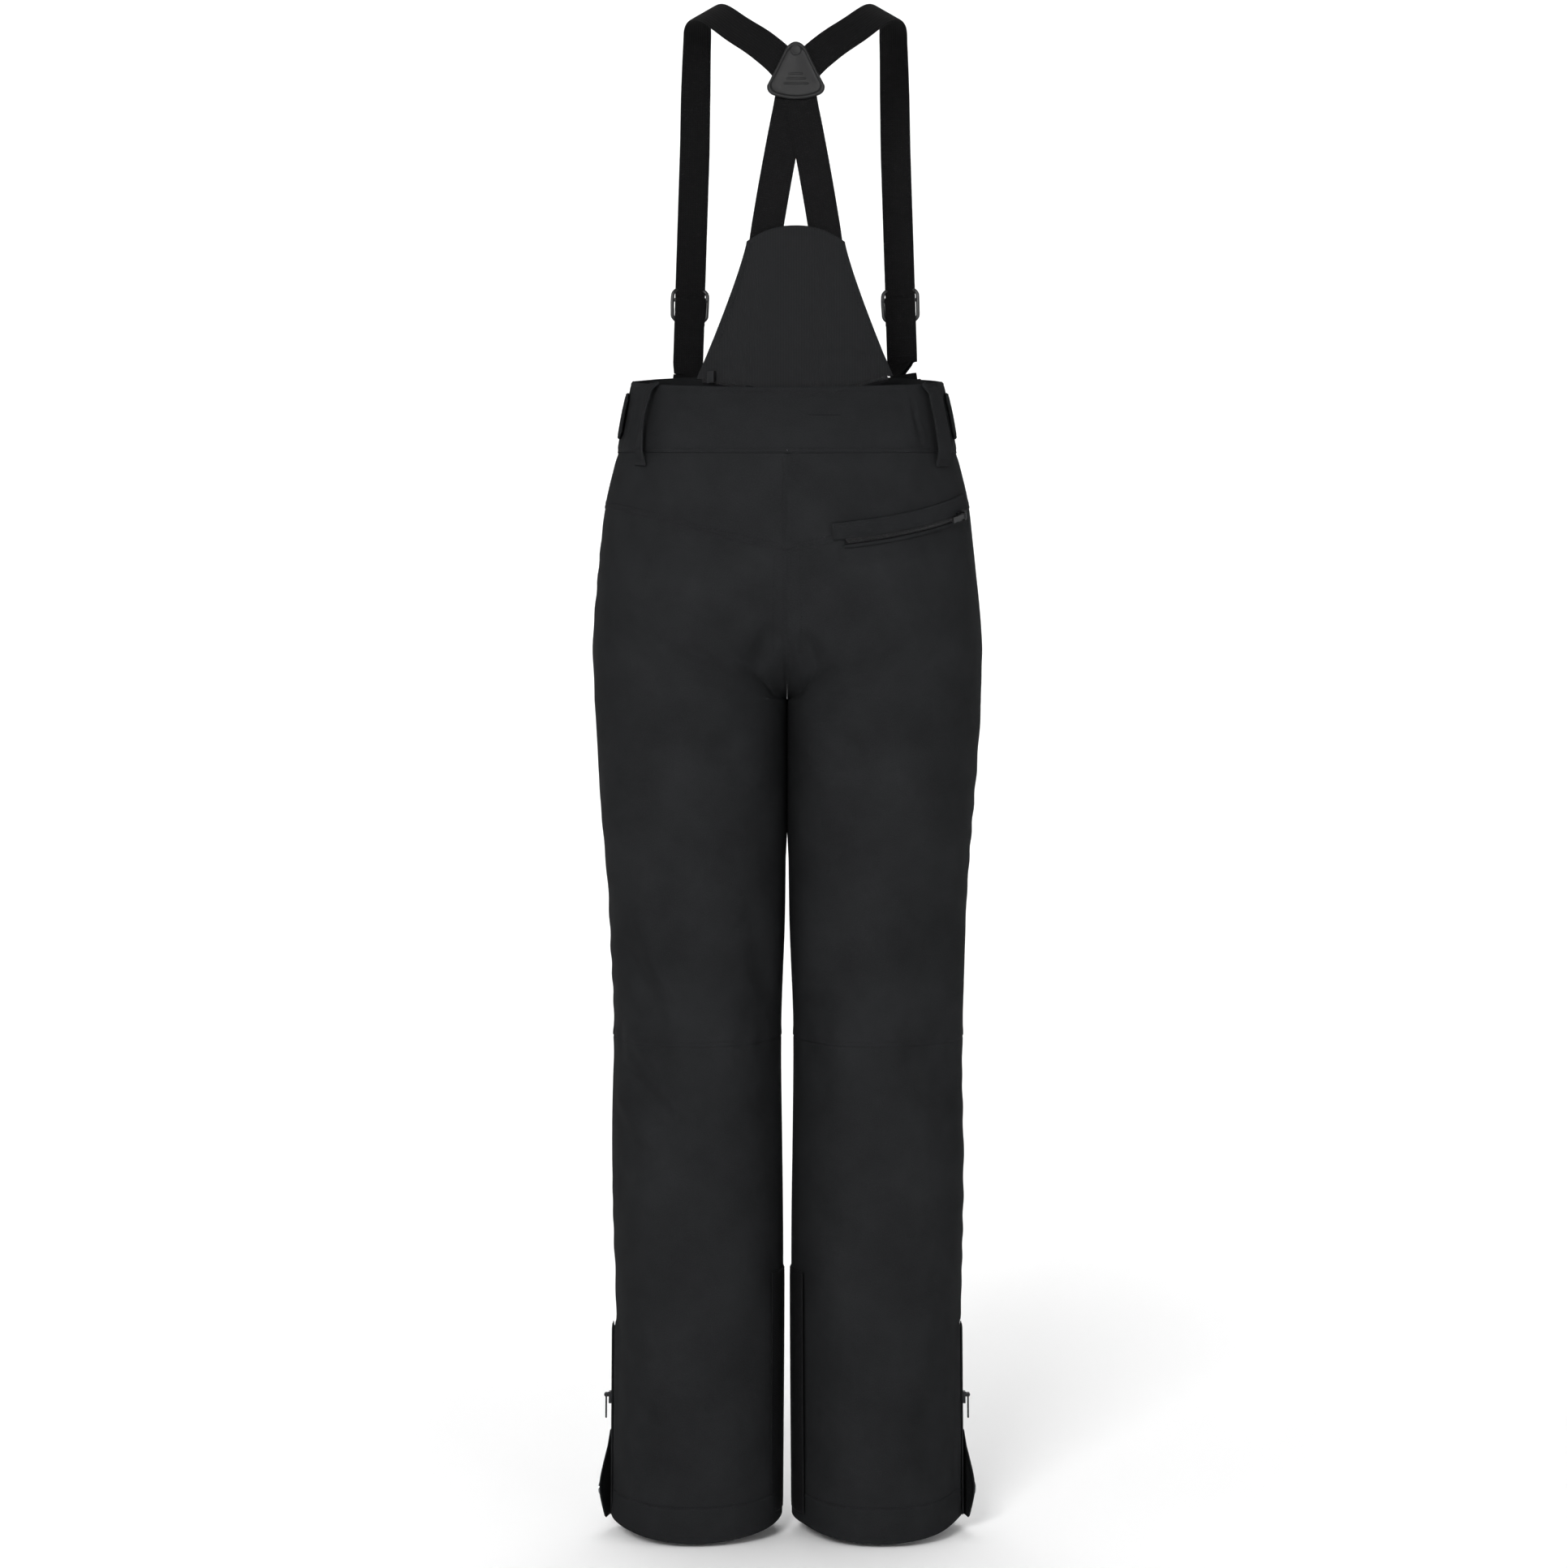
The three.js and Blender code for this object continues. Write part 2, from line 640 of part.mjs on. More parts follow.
// ---- ankle flaps --------------------------------------------------------------------------------
const flapTopZ = -1008;
const flapFootZ = -1090;
const flapSewn = 0.545;
const flapFree = 0.462;
const flapThick = 1.8;
const flapFlare = 10;
function flapPoint(s, t, side, extra = 0) {
  const z = mix(flapTopZ, flapFootZ, t);
  const a = mix(flapFree, flapSewn, s);
  const open = Math.sin(Math.PI * Math.min(1, 0.14 + t * 0.66)) ** 1.3;
  const lift = skin + flapThick + 3 * (1 - s) + flapFlare * open * (1 - s) ** 1.4 + extra;
  return flip(surface(a, z).addScaledVector(outward(a, z), lift), side);
}
function ankleFlaps() {
  for (const [name, side] of sides) {
    add(`ankle_flap_${name}`, sheet((s, t) => flapPoint(s, t, side), 6, 6, flapThick, { turn: side }), FABRIC);
    const at = flapPoint(0.3, 0.66, side, 1.9);
    const e = 0.02;
    const ds = flapPoint(0.3 + e, 0.66, side).sub(flapPoint(0.3 - e, 0.66, side));
    const dt = flapPoint(0.3, 0.66 + e, side).sub(flapPoint(0.3, 0.66 - e, side));
    const out = dt.cross(ds).normalize().multiplyScalar(side);
    const cap = new THREE.CylinderGeometry(5, 6, 1.8, 20);
    cap.applyQuaternion(new THREE.Quaternion().setFromUnitVectors(new THREE.Vector3(0, 1, 0), out));
    add(`ankle_snap_${name}`, cap.translate(...at.toArray()), METAL);
  }
}

// ---- bib and suspenders ---------------------------------------------------------------------------
const bibInset = bandThick - bandLift + 1.4; // how far inside the surface the bib's outer face lies
const bibFootDrop = -34; // height of the bib's lower edge, inside the waistband
const bibLean = 0.085;
const bibThick = 1.8;
const bibCurve = 440; // how far a flat strap stands off the curved bib goes with its width squared
// The place round the back or the front whose distance from the middle plane is x.
function placeAt(x, z, front = false, face = (a) => surface(a, z)) {
  let low = 0;
  let high = 0.5;
  for (let i = 0; i < 30; i++) {
    const middle = (low + high) / 2;
    if (face(middle).x < x) low = middle;
    else high = middle;
  }
  const a = Math.max(low, 2e-3);
  return front ? 1 - a : a;
}

// The outer face of the bib behind a place x, z. It stands up out of the waistband and leans back.
function bibFace(x, z) {
  const level = Math.min(z, 20);
  const inside = (a) => surface(a, level).addScaledVector(outward(a, level), -bibInset);
  const p = inside(placeAt(Math.abs(x), level, false, inside));
  return new THREE.Vector3(x, p.y - bibLean * Math.max(0, z - 20), z);
}
function bibPoint(u, t) {
  const top = bibTopZ * (1 - 0.11 * Math.abs(u) ** 2.2);
  const z = mix(top, bibFootDrop, t);
  const wide = mix(bibFootHalf, bibTopHalf, clamp(z / (bibTopZ * 0.89)) ** 1.25);
  return bibFace(u * wide + braceShift, z);
}

// Stations down a front strap, over the shoulder and down the back: [x, y, z, nx, ny, nz].
const strapSlope = 0.032; // the front straps come together towards the shoulders
const strapStraight = [62, 226]; // heights between which a front strap is straight
const strapY = 93;
const braceFlip = (p, side) => new THREE.Vector3(p.x * side + braceShift, p.y, p.z);
const strapX = (z) => braceFoot - strapSlope * (z - 20);

const clipZ = 2; // height of the slot that a strap's clip holds it by

// Where a front strap meets the waistband: a place on the surface with its own directions.
function strapFoot(side) {
  const x = side * strapX(10) + braceShift;
  const a = placeAt(Math.abs(x), 0, true);
  const out = flip(outward(a, -15), side);
  const up = flip(surface(a, 10), side).sub(flip(surface(a, -50), side)).normalize();
  out.addScaledVector(up, -out.dot(up)).normalize();
  return { at: flip(surface(a, clipZ), side), up, out, across: out.clone().cross(up) };
}

function strapStations(side, over) {
  const foot = strapFoot(side);
  const flat = new THREE.Vector3(side * 0.2, 0.98, 0).normalize();
  const start = foot.at.clone().addScaledVector(foot.up, 12).addScaledVector(foot.out, bandLift + skin + 2.6);
  const straight = (z) => braceFlip(new THREE.Vector3(strapX(z), strapY, z), side);
  const rows = [[start, foot.out]];
  for (const z of [strapStraight[0] - 10, strapStraight[0], 100, 150, 200, strapStraight[1], strapStraight[1] + 10]) {
    rows.push([straight(z), flat]);
  }
  // Over the shoulder and down the back: [x, y, z] and the outward direction.
  const lift = over ? webThick + 0.5 : 0;
  for (const [place, out] of [
    [[braceChest - 1, strapY - 6, 290], [0.25, 0.9, 0.35]],
    [[braceChest - 3, 58, 335], [0.4, 0.45, 0.8]],
    [[braceChest - 6, 8, crestZ - 7], [0.48, -0.05, 0.88]],
    [[80, -45, 345], [0.42, -0.5, 0.75]],
    [[54, -92, 319], [0.25, -0.85, 0.4]],
    [[30, -116 - lift, 298], [0.06, -0.98, 0.15]],
    [[12, -121 - lift, 281], [0, -1, 0.03]],
    [[-1, -121.5 - lift, 262], [0, -1, 0]],
    [[-7, -120.5 - lift, 236], [0, -1, -0.03]],
    [[-17, -115.5 - lift, 185], [0, -1, -0.08]],
  ]) {
    rows.push([braceFlip(new THREE.Vector3(...place), side), new THREE.Vector3(out[0] * side, out[1], out[2])]);
  }
  // The ends lie between the bib and the back, one on the other.
  for (const [x, z] of [
    [-25.5, 138],
    [-28, 122],
    [-30, 104],
  ]) {
    const at = bibFace(x * side + braceShift, z);
    at.y += bibThick + skin + webWidth ** 2 / bibCurve + (over ? 0 : webThick + 0.5);
    rows.push([at, new THREE.Vector3(0, -1, -0.07)]);
  }
  return rows.map(([p, n]) => [p, n.clone().normalize()]);
}

// A ribbon along stations of places and outward directions.
function ribbon(rows, wide, thick, n, t0 = 0, t1 = 1, sink = 0) {
  const path = new THREE.CatmullRomCurve3(rows.map((r) => r[0]), false, "centripetal");
  const count = rows.length - 1;
  const point = (s, t) => {
    const u = mix(t0, t1, t);
    const at = path.getPoint(u);
    const ahead = path.getPoint(Math.min(1, u + 1e-3)).sub(path.getPoint(Math.max(0, u - 1e-3))).normalize();
    const k = Math.min(count - 1, Math.floor(u * count));
    const out = rows[k][1].clone().lerp(rows[k + 1][1], u * count - k);
    out.addScaledVector(ahead, -out.dot(ahead)).normalize();
    const across = out.clone().cross(ahead).normalize();
    return at.addScaledVector(across, (s - 0.5) * wide).addScaledVector(out, -sink);
  };
  return sheet(point, 2, n, thick);
}

const adjusterZ = 85;
const adjusterHigh = 34;
const adjusterRail = 3.6;
const returnGap = 1.3;

// A strap's own directions on its straight stretch.
function strapFrame(side, z) {
  const at = braceFlip(new THREE.Vector3(strapX(z), strapY, z), side);
  const up = new THREE.Vector3(-side * strapSlope, 0, 1).normalize();
  const out = new THREE.Vector3(side * 0.2, 0.98, 0);
  out.addScaledVector(up, -out.dot(up)).normalize();
  return { at, up, out, across: out.clone().cross(up) };
}

// The frame of an adjuster: its top and middle bars lie behind the strap, its lower bar in front.
function adjusterShape() {
  const inner = webWidth / 2 + 0.6;
  const back = -webThick - 3.6;
  const front = 3.0;
  const rails = [-1, 1].map((s) =>
    box([adjusterRail, front - back, adjusterHigh], [s * (inner + adjusterRail / 2), (front + back) / 2, 0]),
  );
  const wide = 2 * inner + adjusterRail;
  const rear = [adjusterHigh / 2 - 3, -1].map((z) => box([wide, 2.6, 5.4 - Math.abs(z + 1) * 0.02], [0, back + 1.3, z]));
  const low = box([wide, 2.2, 5.4], [0, front - 1.1, -adjusterHigh / 2 + 2.7]);
  return join(...rails, ...rear, low);
}

function clipShape() {
  const frame = box([38, 2.6, 13], [0, 0, 0]);
  const slot = box([webWidth + 1.2, 8, 4.6], [0, 0, 0.4]);
  const plate = box([30, 2.6, 46], [0, 0, -28]);
  return cut(join(frame, plate), slot);
}

function patchShape() {
  const half = patchSize / 2;
  const round = 9;
  const outline = new THREE.Shape();
  outline.moveTo(-half + round, -half + 2);
  outline.quadraticCurveTo(0, -half - 3, half - round, -half + 2);
  outline.quadraticCurveTo(half + 1, -half + 4, half, -half + round + 3);
  outline.quadraticCurveTo(half - 10, 0, 9, half - 6);
  outline.quadraticCurveTo(0, half + 5, -9, half - 6);
  outline.quadraticCurveTo(-half + 10, 0, -half, -half + round + 3);
  outline.quadraticCurveTo(-half - 1, -half + 4, -half + round, -half + 2);
  const style = { depth: 2.2, bevelEnabled: true, bevelThickness: 0.5, bevelSize: 0.7, bevelSegments: 1, curveSegments: 6 };
  return new THREE.ExtrudeGeometry(outline, style).rotateX(Math.PI / 2);
}

function suspenders() {
  add("back_bib", sheet((s, t) => bibPoint(mix(-1, 1, s), t), 22, 12, bibThick), STRETCH);
  for (const [name, side] of sides) {
    const rows = strapStations(side, side < 0);
    add(`strap_${name}`, ribbon(rows, webWidth, webThick, 64), WEB);
    // The second layer ends just below the adjuster's middle bar.
    const share = (2 + (adjusterZ - 6 - strapStraight[0]) / (100 - strapStraight[0])) / (rows.length - 1);
    const layer = ribbon(rows, webWidth - 0.6, webThick - 0.2, 8, 0.006, share, webThick + returnGap);
    add(`strap_return_${name}`, layer, WEB);
    const frame = strapFrame(side, adjusterZ);
    const turned = new THREE.Matrix4().makeBasis(frame.across, frame.out, frame.up).setPosition(frame.at);
    add(`adjuster_${name}`, adjusterShape().applyMatrix4(turned), PLASTIC);
    const foot = strapFoot(side);
    const seated = foot.at.clone().addScaledVector(foot.out, bandLift + skin + 2.6);
    const clip = clipShape().applyMatrix4(
      new THREE.Matrix4().makeBasis(foot.across, foot.out, foot.up).setPosition(seated),
    );
    add(`strap_clip_${name}`, clip, PLASTIC);
  }
  const patch = patchShape().translate(braceShift, -121.5 - webThick - 2.6, patchZ);
  add("cross_patch", patch, MOULD);
  const corner = bibFace(braceShift - bibFootHalf + 9, -7);
  const bibSlider = box([8, 3, 11], [corner.x, corner.y - 4, corner.z], [0.8, -0.6, 0]);
  add("bib_zip_slider", bibSlider, METAL);
}

waistband();
bodyPanels();
legs();
scuffGuards();
gaiters();
zips();
pocketWelt();
beltLoops();
waistTabs();
closure();
ankleFlaps();
suspenders();

export default part;
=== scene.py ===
"""Ski pants, seen from behind as worn, with their suspenders over unseen shoulders.

Metres, +Z up, +Y to the front of the pants, +X to the wearer's right. The soft pieces are built
from the same cuts as the CAD panels: a place on the body is (a, z), where a runs from the centre
back (0) over the side (0.5) to the centre front (1), and on a leg from the inner seam round to it.
"""

import math

import bpy
import numpy as np
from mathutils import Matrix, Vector


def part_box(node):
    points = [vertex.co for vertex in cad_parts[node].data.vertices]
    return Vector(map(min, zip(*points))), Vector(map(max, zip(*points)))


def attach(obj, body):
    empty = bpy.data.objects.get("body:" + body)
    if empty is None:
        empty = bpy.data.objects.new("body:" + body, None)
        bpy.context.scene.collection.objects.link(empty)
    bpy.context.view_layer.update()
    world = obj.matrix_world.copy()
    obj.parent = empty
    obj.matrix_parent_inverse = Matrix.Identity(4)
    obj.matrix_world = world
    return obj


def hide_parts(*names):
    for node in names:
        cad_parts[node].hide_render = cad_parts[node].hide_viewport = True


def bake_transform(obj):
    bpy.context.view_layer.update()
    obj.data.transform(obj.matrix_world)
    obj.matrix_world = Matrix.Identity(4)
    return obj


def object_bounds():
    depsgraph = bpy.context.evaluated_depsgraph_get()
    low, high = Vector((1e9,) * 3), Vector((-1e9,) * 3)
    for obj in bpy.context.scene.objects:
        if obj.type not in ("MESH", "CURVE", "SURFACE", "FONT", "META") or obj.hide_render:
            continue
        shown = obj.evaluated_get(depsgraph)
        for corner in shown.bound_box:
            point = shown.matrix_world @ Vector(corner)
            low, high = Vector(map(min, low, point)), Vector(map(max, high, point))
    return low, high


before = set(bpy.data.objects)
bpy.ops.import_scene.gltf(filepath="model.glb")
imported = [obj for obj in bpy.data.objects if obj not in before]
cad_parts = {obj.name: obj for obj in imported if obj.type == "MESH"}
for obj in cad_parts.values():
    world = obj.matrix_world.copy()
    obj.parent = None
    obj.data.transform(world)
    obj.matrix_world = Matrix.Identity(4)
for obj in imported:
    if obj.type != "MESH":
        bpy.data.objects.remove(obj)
cad_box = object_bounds()
MM = 0.001


# ---- measures, read from the frame ---------------------------------------------------------------
def low(node):
    return np.array(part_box(node)[0])


def high(node):
    return np.array(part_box(node)[1])


CROTCH_Z = high("thigh_back_right")[2]
KNEE_Z = high("shin_back_right")[2]
HEM_Z = low("shin_back_right")[2]
HIP_HALF = high("seat_right")[0]
HIP_DEPTH = 124 * MM
WAIST_HALF = 149 * MM
WAIST_DEPTH = 108 * MM
BAND_HIGH = 69 * MM
BAND_TILT = 17 * MM
BAND_SEAM_TILT = 10 * MM
BAND_LIFT = 0.6 * MM
YOKE_SIDE = -123 * MM
YOKE_BACK = -170 * MM
HIP_Z = -245 * MM
CROTCH_RISE = 150 * MM
CROTCH_BLEND = 0.36  # the share of that rise over which the back and the front run into the legs
CLOTH = 1.6 * MM
HEM_TURN = 33 * MM  # height of the turned-up hem
KNEE_DIP = 6 * MM  # how much lower the knee seam runs on the outer side
ROUND_LEG = 570 * MM  # the way round a leg, and close to the way round half the body
BRACE_SHIFT = float(low("cross_patch")[0] + high("cross_patch")[0]) / 2
SIDES = (("left", -1), ("right", 1))

BODY_HALF = [
    (20 * MM, WAIST_HALF - 3 * MM),
    (0, WAIST_HALF),
    (-BAND_HIGH, WAIST_HALF + (HIP_HALF - WAIST_HALF) * 0.36),
    (YOKE_SIDE, WAIST_HALF + (HIP_HALF - WAIST_HALF) * 0.68),
    (HIP_Z, HIP_HALF),
    (CROTCH_Z - 20 * MM, HIP_HALF - 2 * MM),
]
BODY_DEPTH = [
    (20 * MM, WAIST_DEPTH - 2 * MM),
    (0, WAIST_DEPTH),
    (-BAND_HIGH, (WAIST_DEPTH + HIP_DEPTH) / 2),
    (HIP_Z, HIP_DEPTH),
    (CROTCH_Z - 20 * MM, HIP_DEPTH - 2 * MM),
]
LEG_HALF = [
    (CROTCH_Z, 92 * MM),
    (CROTCH_Z - 90 * MM, 89 * MM),
    (CROTCH_Z - 220 * MM, 84 * MM),
    (KNEE_Z, 80.5 * MM),
    (KNEE_Z - 130 * MM, 82.5 * MM),
    (HEM_Z + 200 * MM, 81 * MM),
    (HEM_Z, 81 * MM),
]
LEG_DEPTH = [
    (CROTCH_Z, 115 * MM),
    (CROTCH_Z - 150 * MM, 103 * MM),
    (KNEE_Z, 86 * MM),
    (KNEE_Z - 150 * MM, 88 * MM),
    (HEM_Z + 200 * MM, 86 * MM),
    (HEM_Z, 86 * MM),
]
LEG_INNER = [
    (CROTCH_Z, 0.9 * MM),
    (CROTCH_Z - 200 * MM, 2.1 * MM),
    (KNEE_Z, 6.2 * MM),
    (KNEE_Z - 200 * MM, 4.2 * MM),
    (HEM_Z, 5.7 * MM),
]


# ---- curves and the common surface ---------------------------------------------------------------
def mix(a, b, t):
    return a + (b - a) * t


def ease(t):
    t = np.clip(t, 0, 1)
    return t * t * (3 - 2 * t)


def along(stations, z):
    """A smooth curve through (height, value) stations, flat beyond them."""
    zs = np.array([s[0] for s in stations])[::-1]
    vs = np.array([s[1] for s in stations])[::-1]
    slopes = np.gradient(vs, zs)
    slopes[1:-1] = (vs[2:] - vs[:-2]) / (zs[2:] - zs[:-2])
    z = np.clip(z, zs[0], zs[-1])
    k = np.clip(np.searchsorted(zs, z, side="right") - 1, 0, len(zs) - 2)
    span = zs[k + 1] - zs[k]
    t = (z - zs[k]) / span
    value = mix(vs[k], vs[k + 1], t * t * (3 - 2 * t))
    return value + slopes[k] * t * (t - 1) ** 2 * span + slopes[k + 1] * t * t * (t - 1) * span


def leg_section(a, z):
    turn = 2 * math.pi * a
    hw = along(LEG_HALF, z)
    x = along(LEG_INNER, z) + hw - hw * np.cos(turn)
    return np.stack([x, -along(LEG_DEPTH, z) * np.sin(turn), z + 0 * a], -1)


def surface(a, z):
    """The outside of the right half of the pants. a and z are arrays of one shape."""
    a, z = np.broadcast_arrays(np.asarray(a, float), np.asarray(z, float))
    leg = leg_section(a, np.minimum(z, CROTCH_Z))
    turn = np.pi * np.clip(a, 0, 1)
    rise = np.clip((z - CROTCH_Z) / CROTCH_RISE, 0, 1)
    closed = 1 - np.sqrt(rise * (2 - rise))
    # Away from the middle the cloth runs smoothly from the body into the leg.
    t = np.clip(rise / CROTCH_BLEND, 0, 1)
    at_top = math.sqrt(CROTCH_BLEND * (2 - CROTCH_BLEND))
    slope = -(1 - CROTCH_BLEND) / at_top * CROTCH_BLEND
    smooth = mix(1, 1 - at_top, t * t * (3 - 2 * t)) + slope * t * t * (t - 1)
    aside = ease((np.minimum(a, 1 - a) - 0.012) / 0.09) * (rise < CROTCH_BLEND)
    closed = mix(closed, smooth, aside)
    c = -np.cos(turn)
    x = along(BODY_HALF, z) * np.sin(turn) ** mix(0.7, 0.86, rise)
    y = along(BODY_DEPTH, z) * np.sign(c) * np.abs(c) ** mix(0.56, 0.86, rise)
    body = np.stack([mix(x, leg[..., 0], closed), mix(y, leg[..., 1], closed), z], -1)
    return np.where((z > CROTCH_Z)[..., None], body, leg)


def unit(v):
    return v / np.maximum(np.linalg.norm(v, axis=-1, keepdims=True), 1e-12)


def outward(a, z):
    a, z = np.broadcast_arrays(np.asarray(a, float), np.asarray(z, float))
    e = 1e-3
    upper = z > CROTCH_Z
    a0 = np.where(upper, np.maximum(a - e, 0), a - e)
    a1 = np.where(upper, np.minimum(a + e, 1), a + e)
    da = surface(a1, z) - surface(a0, z)
    dz = surface(a, z - MM) - surface(a, z + MM)
    n = unit(np.cross(dz, da))
    edge = upper & ((a < 2e-4) | (a > 1 - 2e-4))
    n[..., 0] = np.where(edge & (z > CROTCH_Z + 4 * MM), 0, n[..., 0])
    return unit(n)


def flip(p, side):
    p = np.array(p, float)
    p[..., 0] *= side
    return p


def band_top(a):
    return -BAND_TILT * np.cos(np.pi * a)


def band_foot(a):
    return -BAND_HIGH - BAND_SEAM_TILT * np.cos(np.pi * a)


def yoke_seam(a):
    return mix(YOKE_BACK, YOKE_SIDE, np.sin(np.pi * np.minimum(a, 0.5)))


def knee_seam(a):
    return KNEE_Z - KNEE_DIP * np.sin(np.pi * np.clip(a * 2, 0, 1)) * (a < 0.5)


def place_at(x, z, front=False):
    """a where the surface is x away from the middle plane."""
    lo, hi = 0.0, 0.5
    for _ in range(40):
        m = (lo + hi) / 2
        if surface(m, z)[0] < x:
            lo = m
        else:
            hi = m
    return 1 - lo if front else lo


def spaced(length, step, start=True, end=True):
    """Shares of a length, closely spaced near ends that are seams."""
    near = np.array([0, 0.6, 1.2, 1.9, 2.8, 4.0, 5.6, 8.0]) * MM
    first = near if start else np.array([0.0])
    last = length - (near if end else np.array([0.0]))[::-1]
    n = max(1, round((last[0] - first[-1]) / step))
    middle = np.linspace(first[-1], last[0], n + 1)[1:-1]
    return np.concatenate([first, middle, last]) / length


def waves(u, v, seed, count=7, shortest=0.05, longest=0.3, stretch=1.0):
    """Smooth seeded unevenness between about -1 and 1 over a plane in metres."""
    rng = np.random.default_rng(seed)
    total = 0
    for _ in range(count):
        wave = 2 * math.pi / rng.uniform(shortest, longest)
        angle = rng.uniform(0, math.pi)
        total = total + np.sin(
            wave * (u * math.cos(angle) + v * math.sin(angle) / stretch) + rng.uniform(0, 6.3)
        )
    return total / math.sqrt(count) / 1.4


# ---- meshes --------------------------------------------------------------------------------------
def make(name, verts, faces, material, smooth=True, uv=None, normals=None):
    mesh = bpy.data.meshes.new(name)
    mesh.from_pydata([tuple(v) for v in verts], [], [tuple(f) for f in faces])
    if uv is not None:
        layer = mesh.uv_layers.new(name="cloth")
        loops = np.zeros(len(mesh.loops), np.int32)
        mesh.loops.foreach_get("vertex_index", loops)
        layer.data.foreach_set("uv", np.asarray(uv, np.float32)[loops].ravel())
    mesh.polygons.foreach_set("use_smooth", [smooth] * len(mesh.polygons))
    if normals is not None:
        mesh.normals_split_custom_set_from_vertices([tuple(n) for n in normals])
    mesh.materials.append(material)
    mesh.update()
    o = bpy.data.objects.new(name, mesh)
    bpy.context.collection.objects.link(o)
    return o


def grid_normals(p, wrap_s=False):
    """Outward normals of a grid of points whose columns go round with the outside on the right."""
    ds = np.gradient(p, axis=1)
    if wrap_s:
        ds[:, 0] = ds[:, -1] = p[:, 1] - p[:, -2]
    dt = np.gradient(p, axis=0)
    return unit(np.cross(dt, ds))


def shell(name, p, n, thick, material, uv, close=None, inner=None, walls=("top", "foot")):
    """A sheet with two faces. close marks the rows whose first and last column are one point."""
    rows, cols = p.shape[:2]
    close = np.zeros(rows, bool) if close is None else close
    back = p - n * thick if inner is None else inner
    verts = np.concatenate([p.reshape(-1, 3), back.reshape(-1, 3)])
    normals = np.concatenate([n.reshape(-1, 3), -n.reshape(-1, 3)])
    uvs = np.concatenate([uv.reshape(-1, 2)] * 2)
    ids = np.arange(rows * cols).reshape(rows, cols)
    ids[close, -1] = ids[close, 0]
    half = rows * cols
    a, b, c, d = ids[:-1, :-1], ids[1:, :-1], ids[1:, 1:], ids[:-1, 1:]
    outer = np.stack([a, b, c, d], -1).reshape(-1, 4)
    faces = [outer, outer[:, ::-1] + half]

    def wall(line, ahead, swap):
        """A wall along one edge, with its own corners so that it is lit as a wall."""
        nonlocal verts, normals, uvs
        first = len(verts)
        out = unit(np.cross(ahead, n.reshape(-1, 3)[line]))
        verts = np.concatenate([verts, verts[line], verts[line + half]])
        normals = np.concatenate([normals, out, out])
        uvs = np.concatenate([uvs, uvs[line], uvs[line]])
        k = first + np.arange(len(line) - 1)
        quad = np.stack([k, k + 1, k + 1 + len(line), k + len(line)], -1)
        faces.append(quad[:, ::-1] if swap else quad)

    flat = p.reshape(-1, 3)
    if "top" in walls:
        wall(ids[0], -np.gradient(flat[ids[0]], axis=0), False)
    if "foot" in walls:
        wall(ids[-1], np.gradient(flat[ids[-1]], axis=0), True)
    open_rows = np.where(~close)[0]
    if len(open_rows) > 1:
        last = min(rows, open_rows[-1] + 2)
        for column, sign in ((0, 1), (-1, -1)):
            line = ids[open_rows[0] : last, column]
            wall(line, sign * np.gradient(flat[line], axis=0), sign > 0)
    faces = np.concatenate([f.reshape(-1, 4) for f in faces])
    used, remap = np.unique(faces, return_inverse=True)
    faces = remap.reshape(-1, 4)
    tidy = []
    for f in faces.tolist():
        corners = list(dict.fromkeys(f))
        if len(corners) > 2:
            tidy.append(corners)
    return make(name, verts[used], tidy, material, uv=uvs[used], normals=normals[used])


def rounded_end(s, reach):
    """How much of its height a flap keeps at s, with a rounded free end at s = 0."""
    return np.sqrt(np.clip(1 - (1 - np.clip(s / reach, 0, 1)) ** 2, 0.02, 1))


def patch(name, side, point, wide, high_, thick, material, edge=1.5, grooves=(), step=5, wavy=0):
    """A stitched piece of cloth. point(s, t) gives places and outward directions of its inner face
    for the right side. Its edges are rounded over, and grooves are lines of stitches inside them."""
    s, t = np.meshgrid(spaced(wide, step * MM), spaced(high_, step * MM))
    base, n = point(s, t)
    d = np.minimum(np.minimum(s, 1 - s) * wide, np.minimum(t, 1 - t) * high_) / MM
    lift = thick * (1 - 0.55 * (1 - ease(d / edge)))
    for g in grooves:
        lift = lift - 0.35 * MM * np.exp(-(((d - g) / 0.55) ** 2))
    if wavy:
        lift = lift + wavy * MM * waves(s * wide, t * high_, 11, shortest=0.02, longest=0.08)
    p = base + n * lift[..., None]
    uv = np.stack([s * wide, t * high_], -1)
    p, n, base = flip(p, side), flip(n, side), flip(base, side)
    if side < 0:
        p, n, base, uv = p[:, ::-1], n[:, ::-1], base[:, ::-1], uv[:, ::-1]
    normal = grid_normals(p)
    normal *= np.sign((normal * n).sum(-1, keepdims=True))
    return shell(name, p, normal, thick, material, uv, inner=base)


def frames(path, outs):
    ahead = unit(np.gradient(path, axis=0))
    outs = unit(outs - ahead * (outs * ahead).sum(-1, keepdims=True))
    return ahead, outs, np.cross(outs, ahead)


def resample(path, step):
    """Even points on a smooth curve through stations. Extra columns are carried along."""
    path = np.asarray(path, float)
    knots = np.concatenate([[0], np.cumsum(np.linalg.norm(np.diff(path[:, :3], axis=0), axis=1))])
    m = np.gradient(path, knots, axis=0)
    count = max(3, round(knots[-1] / step) + 1)
    u = np.linspace(0, knots[-1], count)
    k = np.clip(np.searchsorted(knots, u, side="right") - 1, 0, len(knots) - 2)
    span = (knots[k + 1] - knots[k])[:, None]
    t = ((u - knots[k])[:, None]) / span
    a, b = path[k], path[k + 1]
    return (
        mix(a, b, t * t * (3 - 2 * t))
        + m[k] * t * (t - 1) ** 2 * span
        + m[k + 1] * t * t * (t - 1) * span
    )


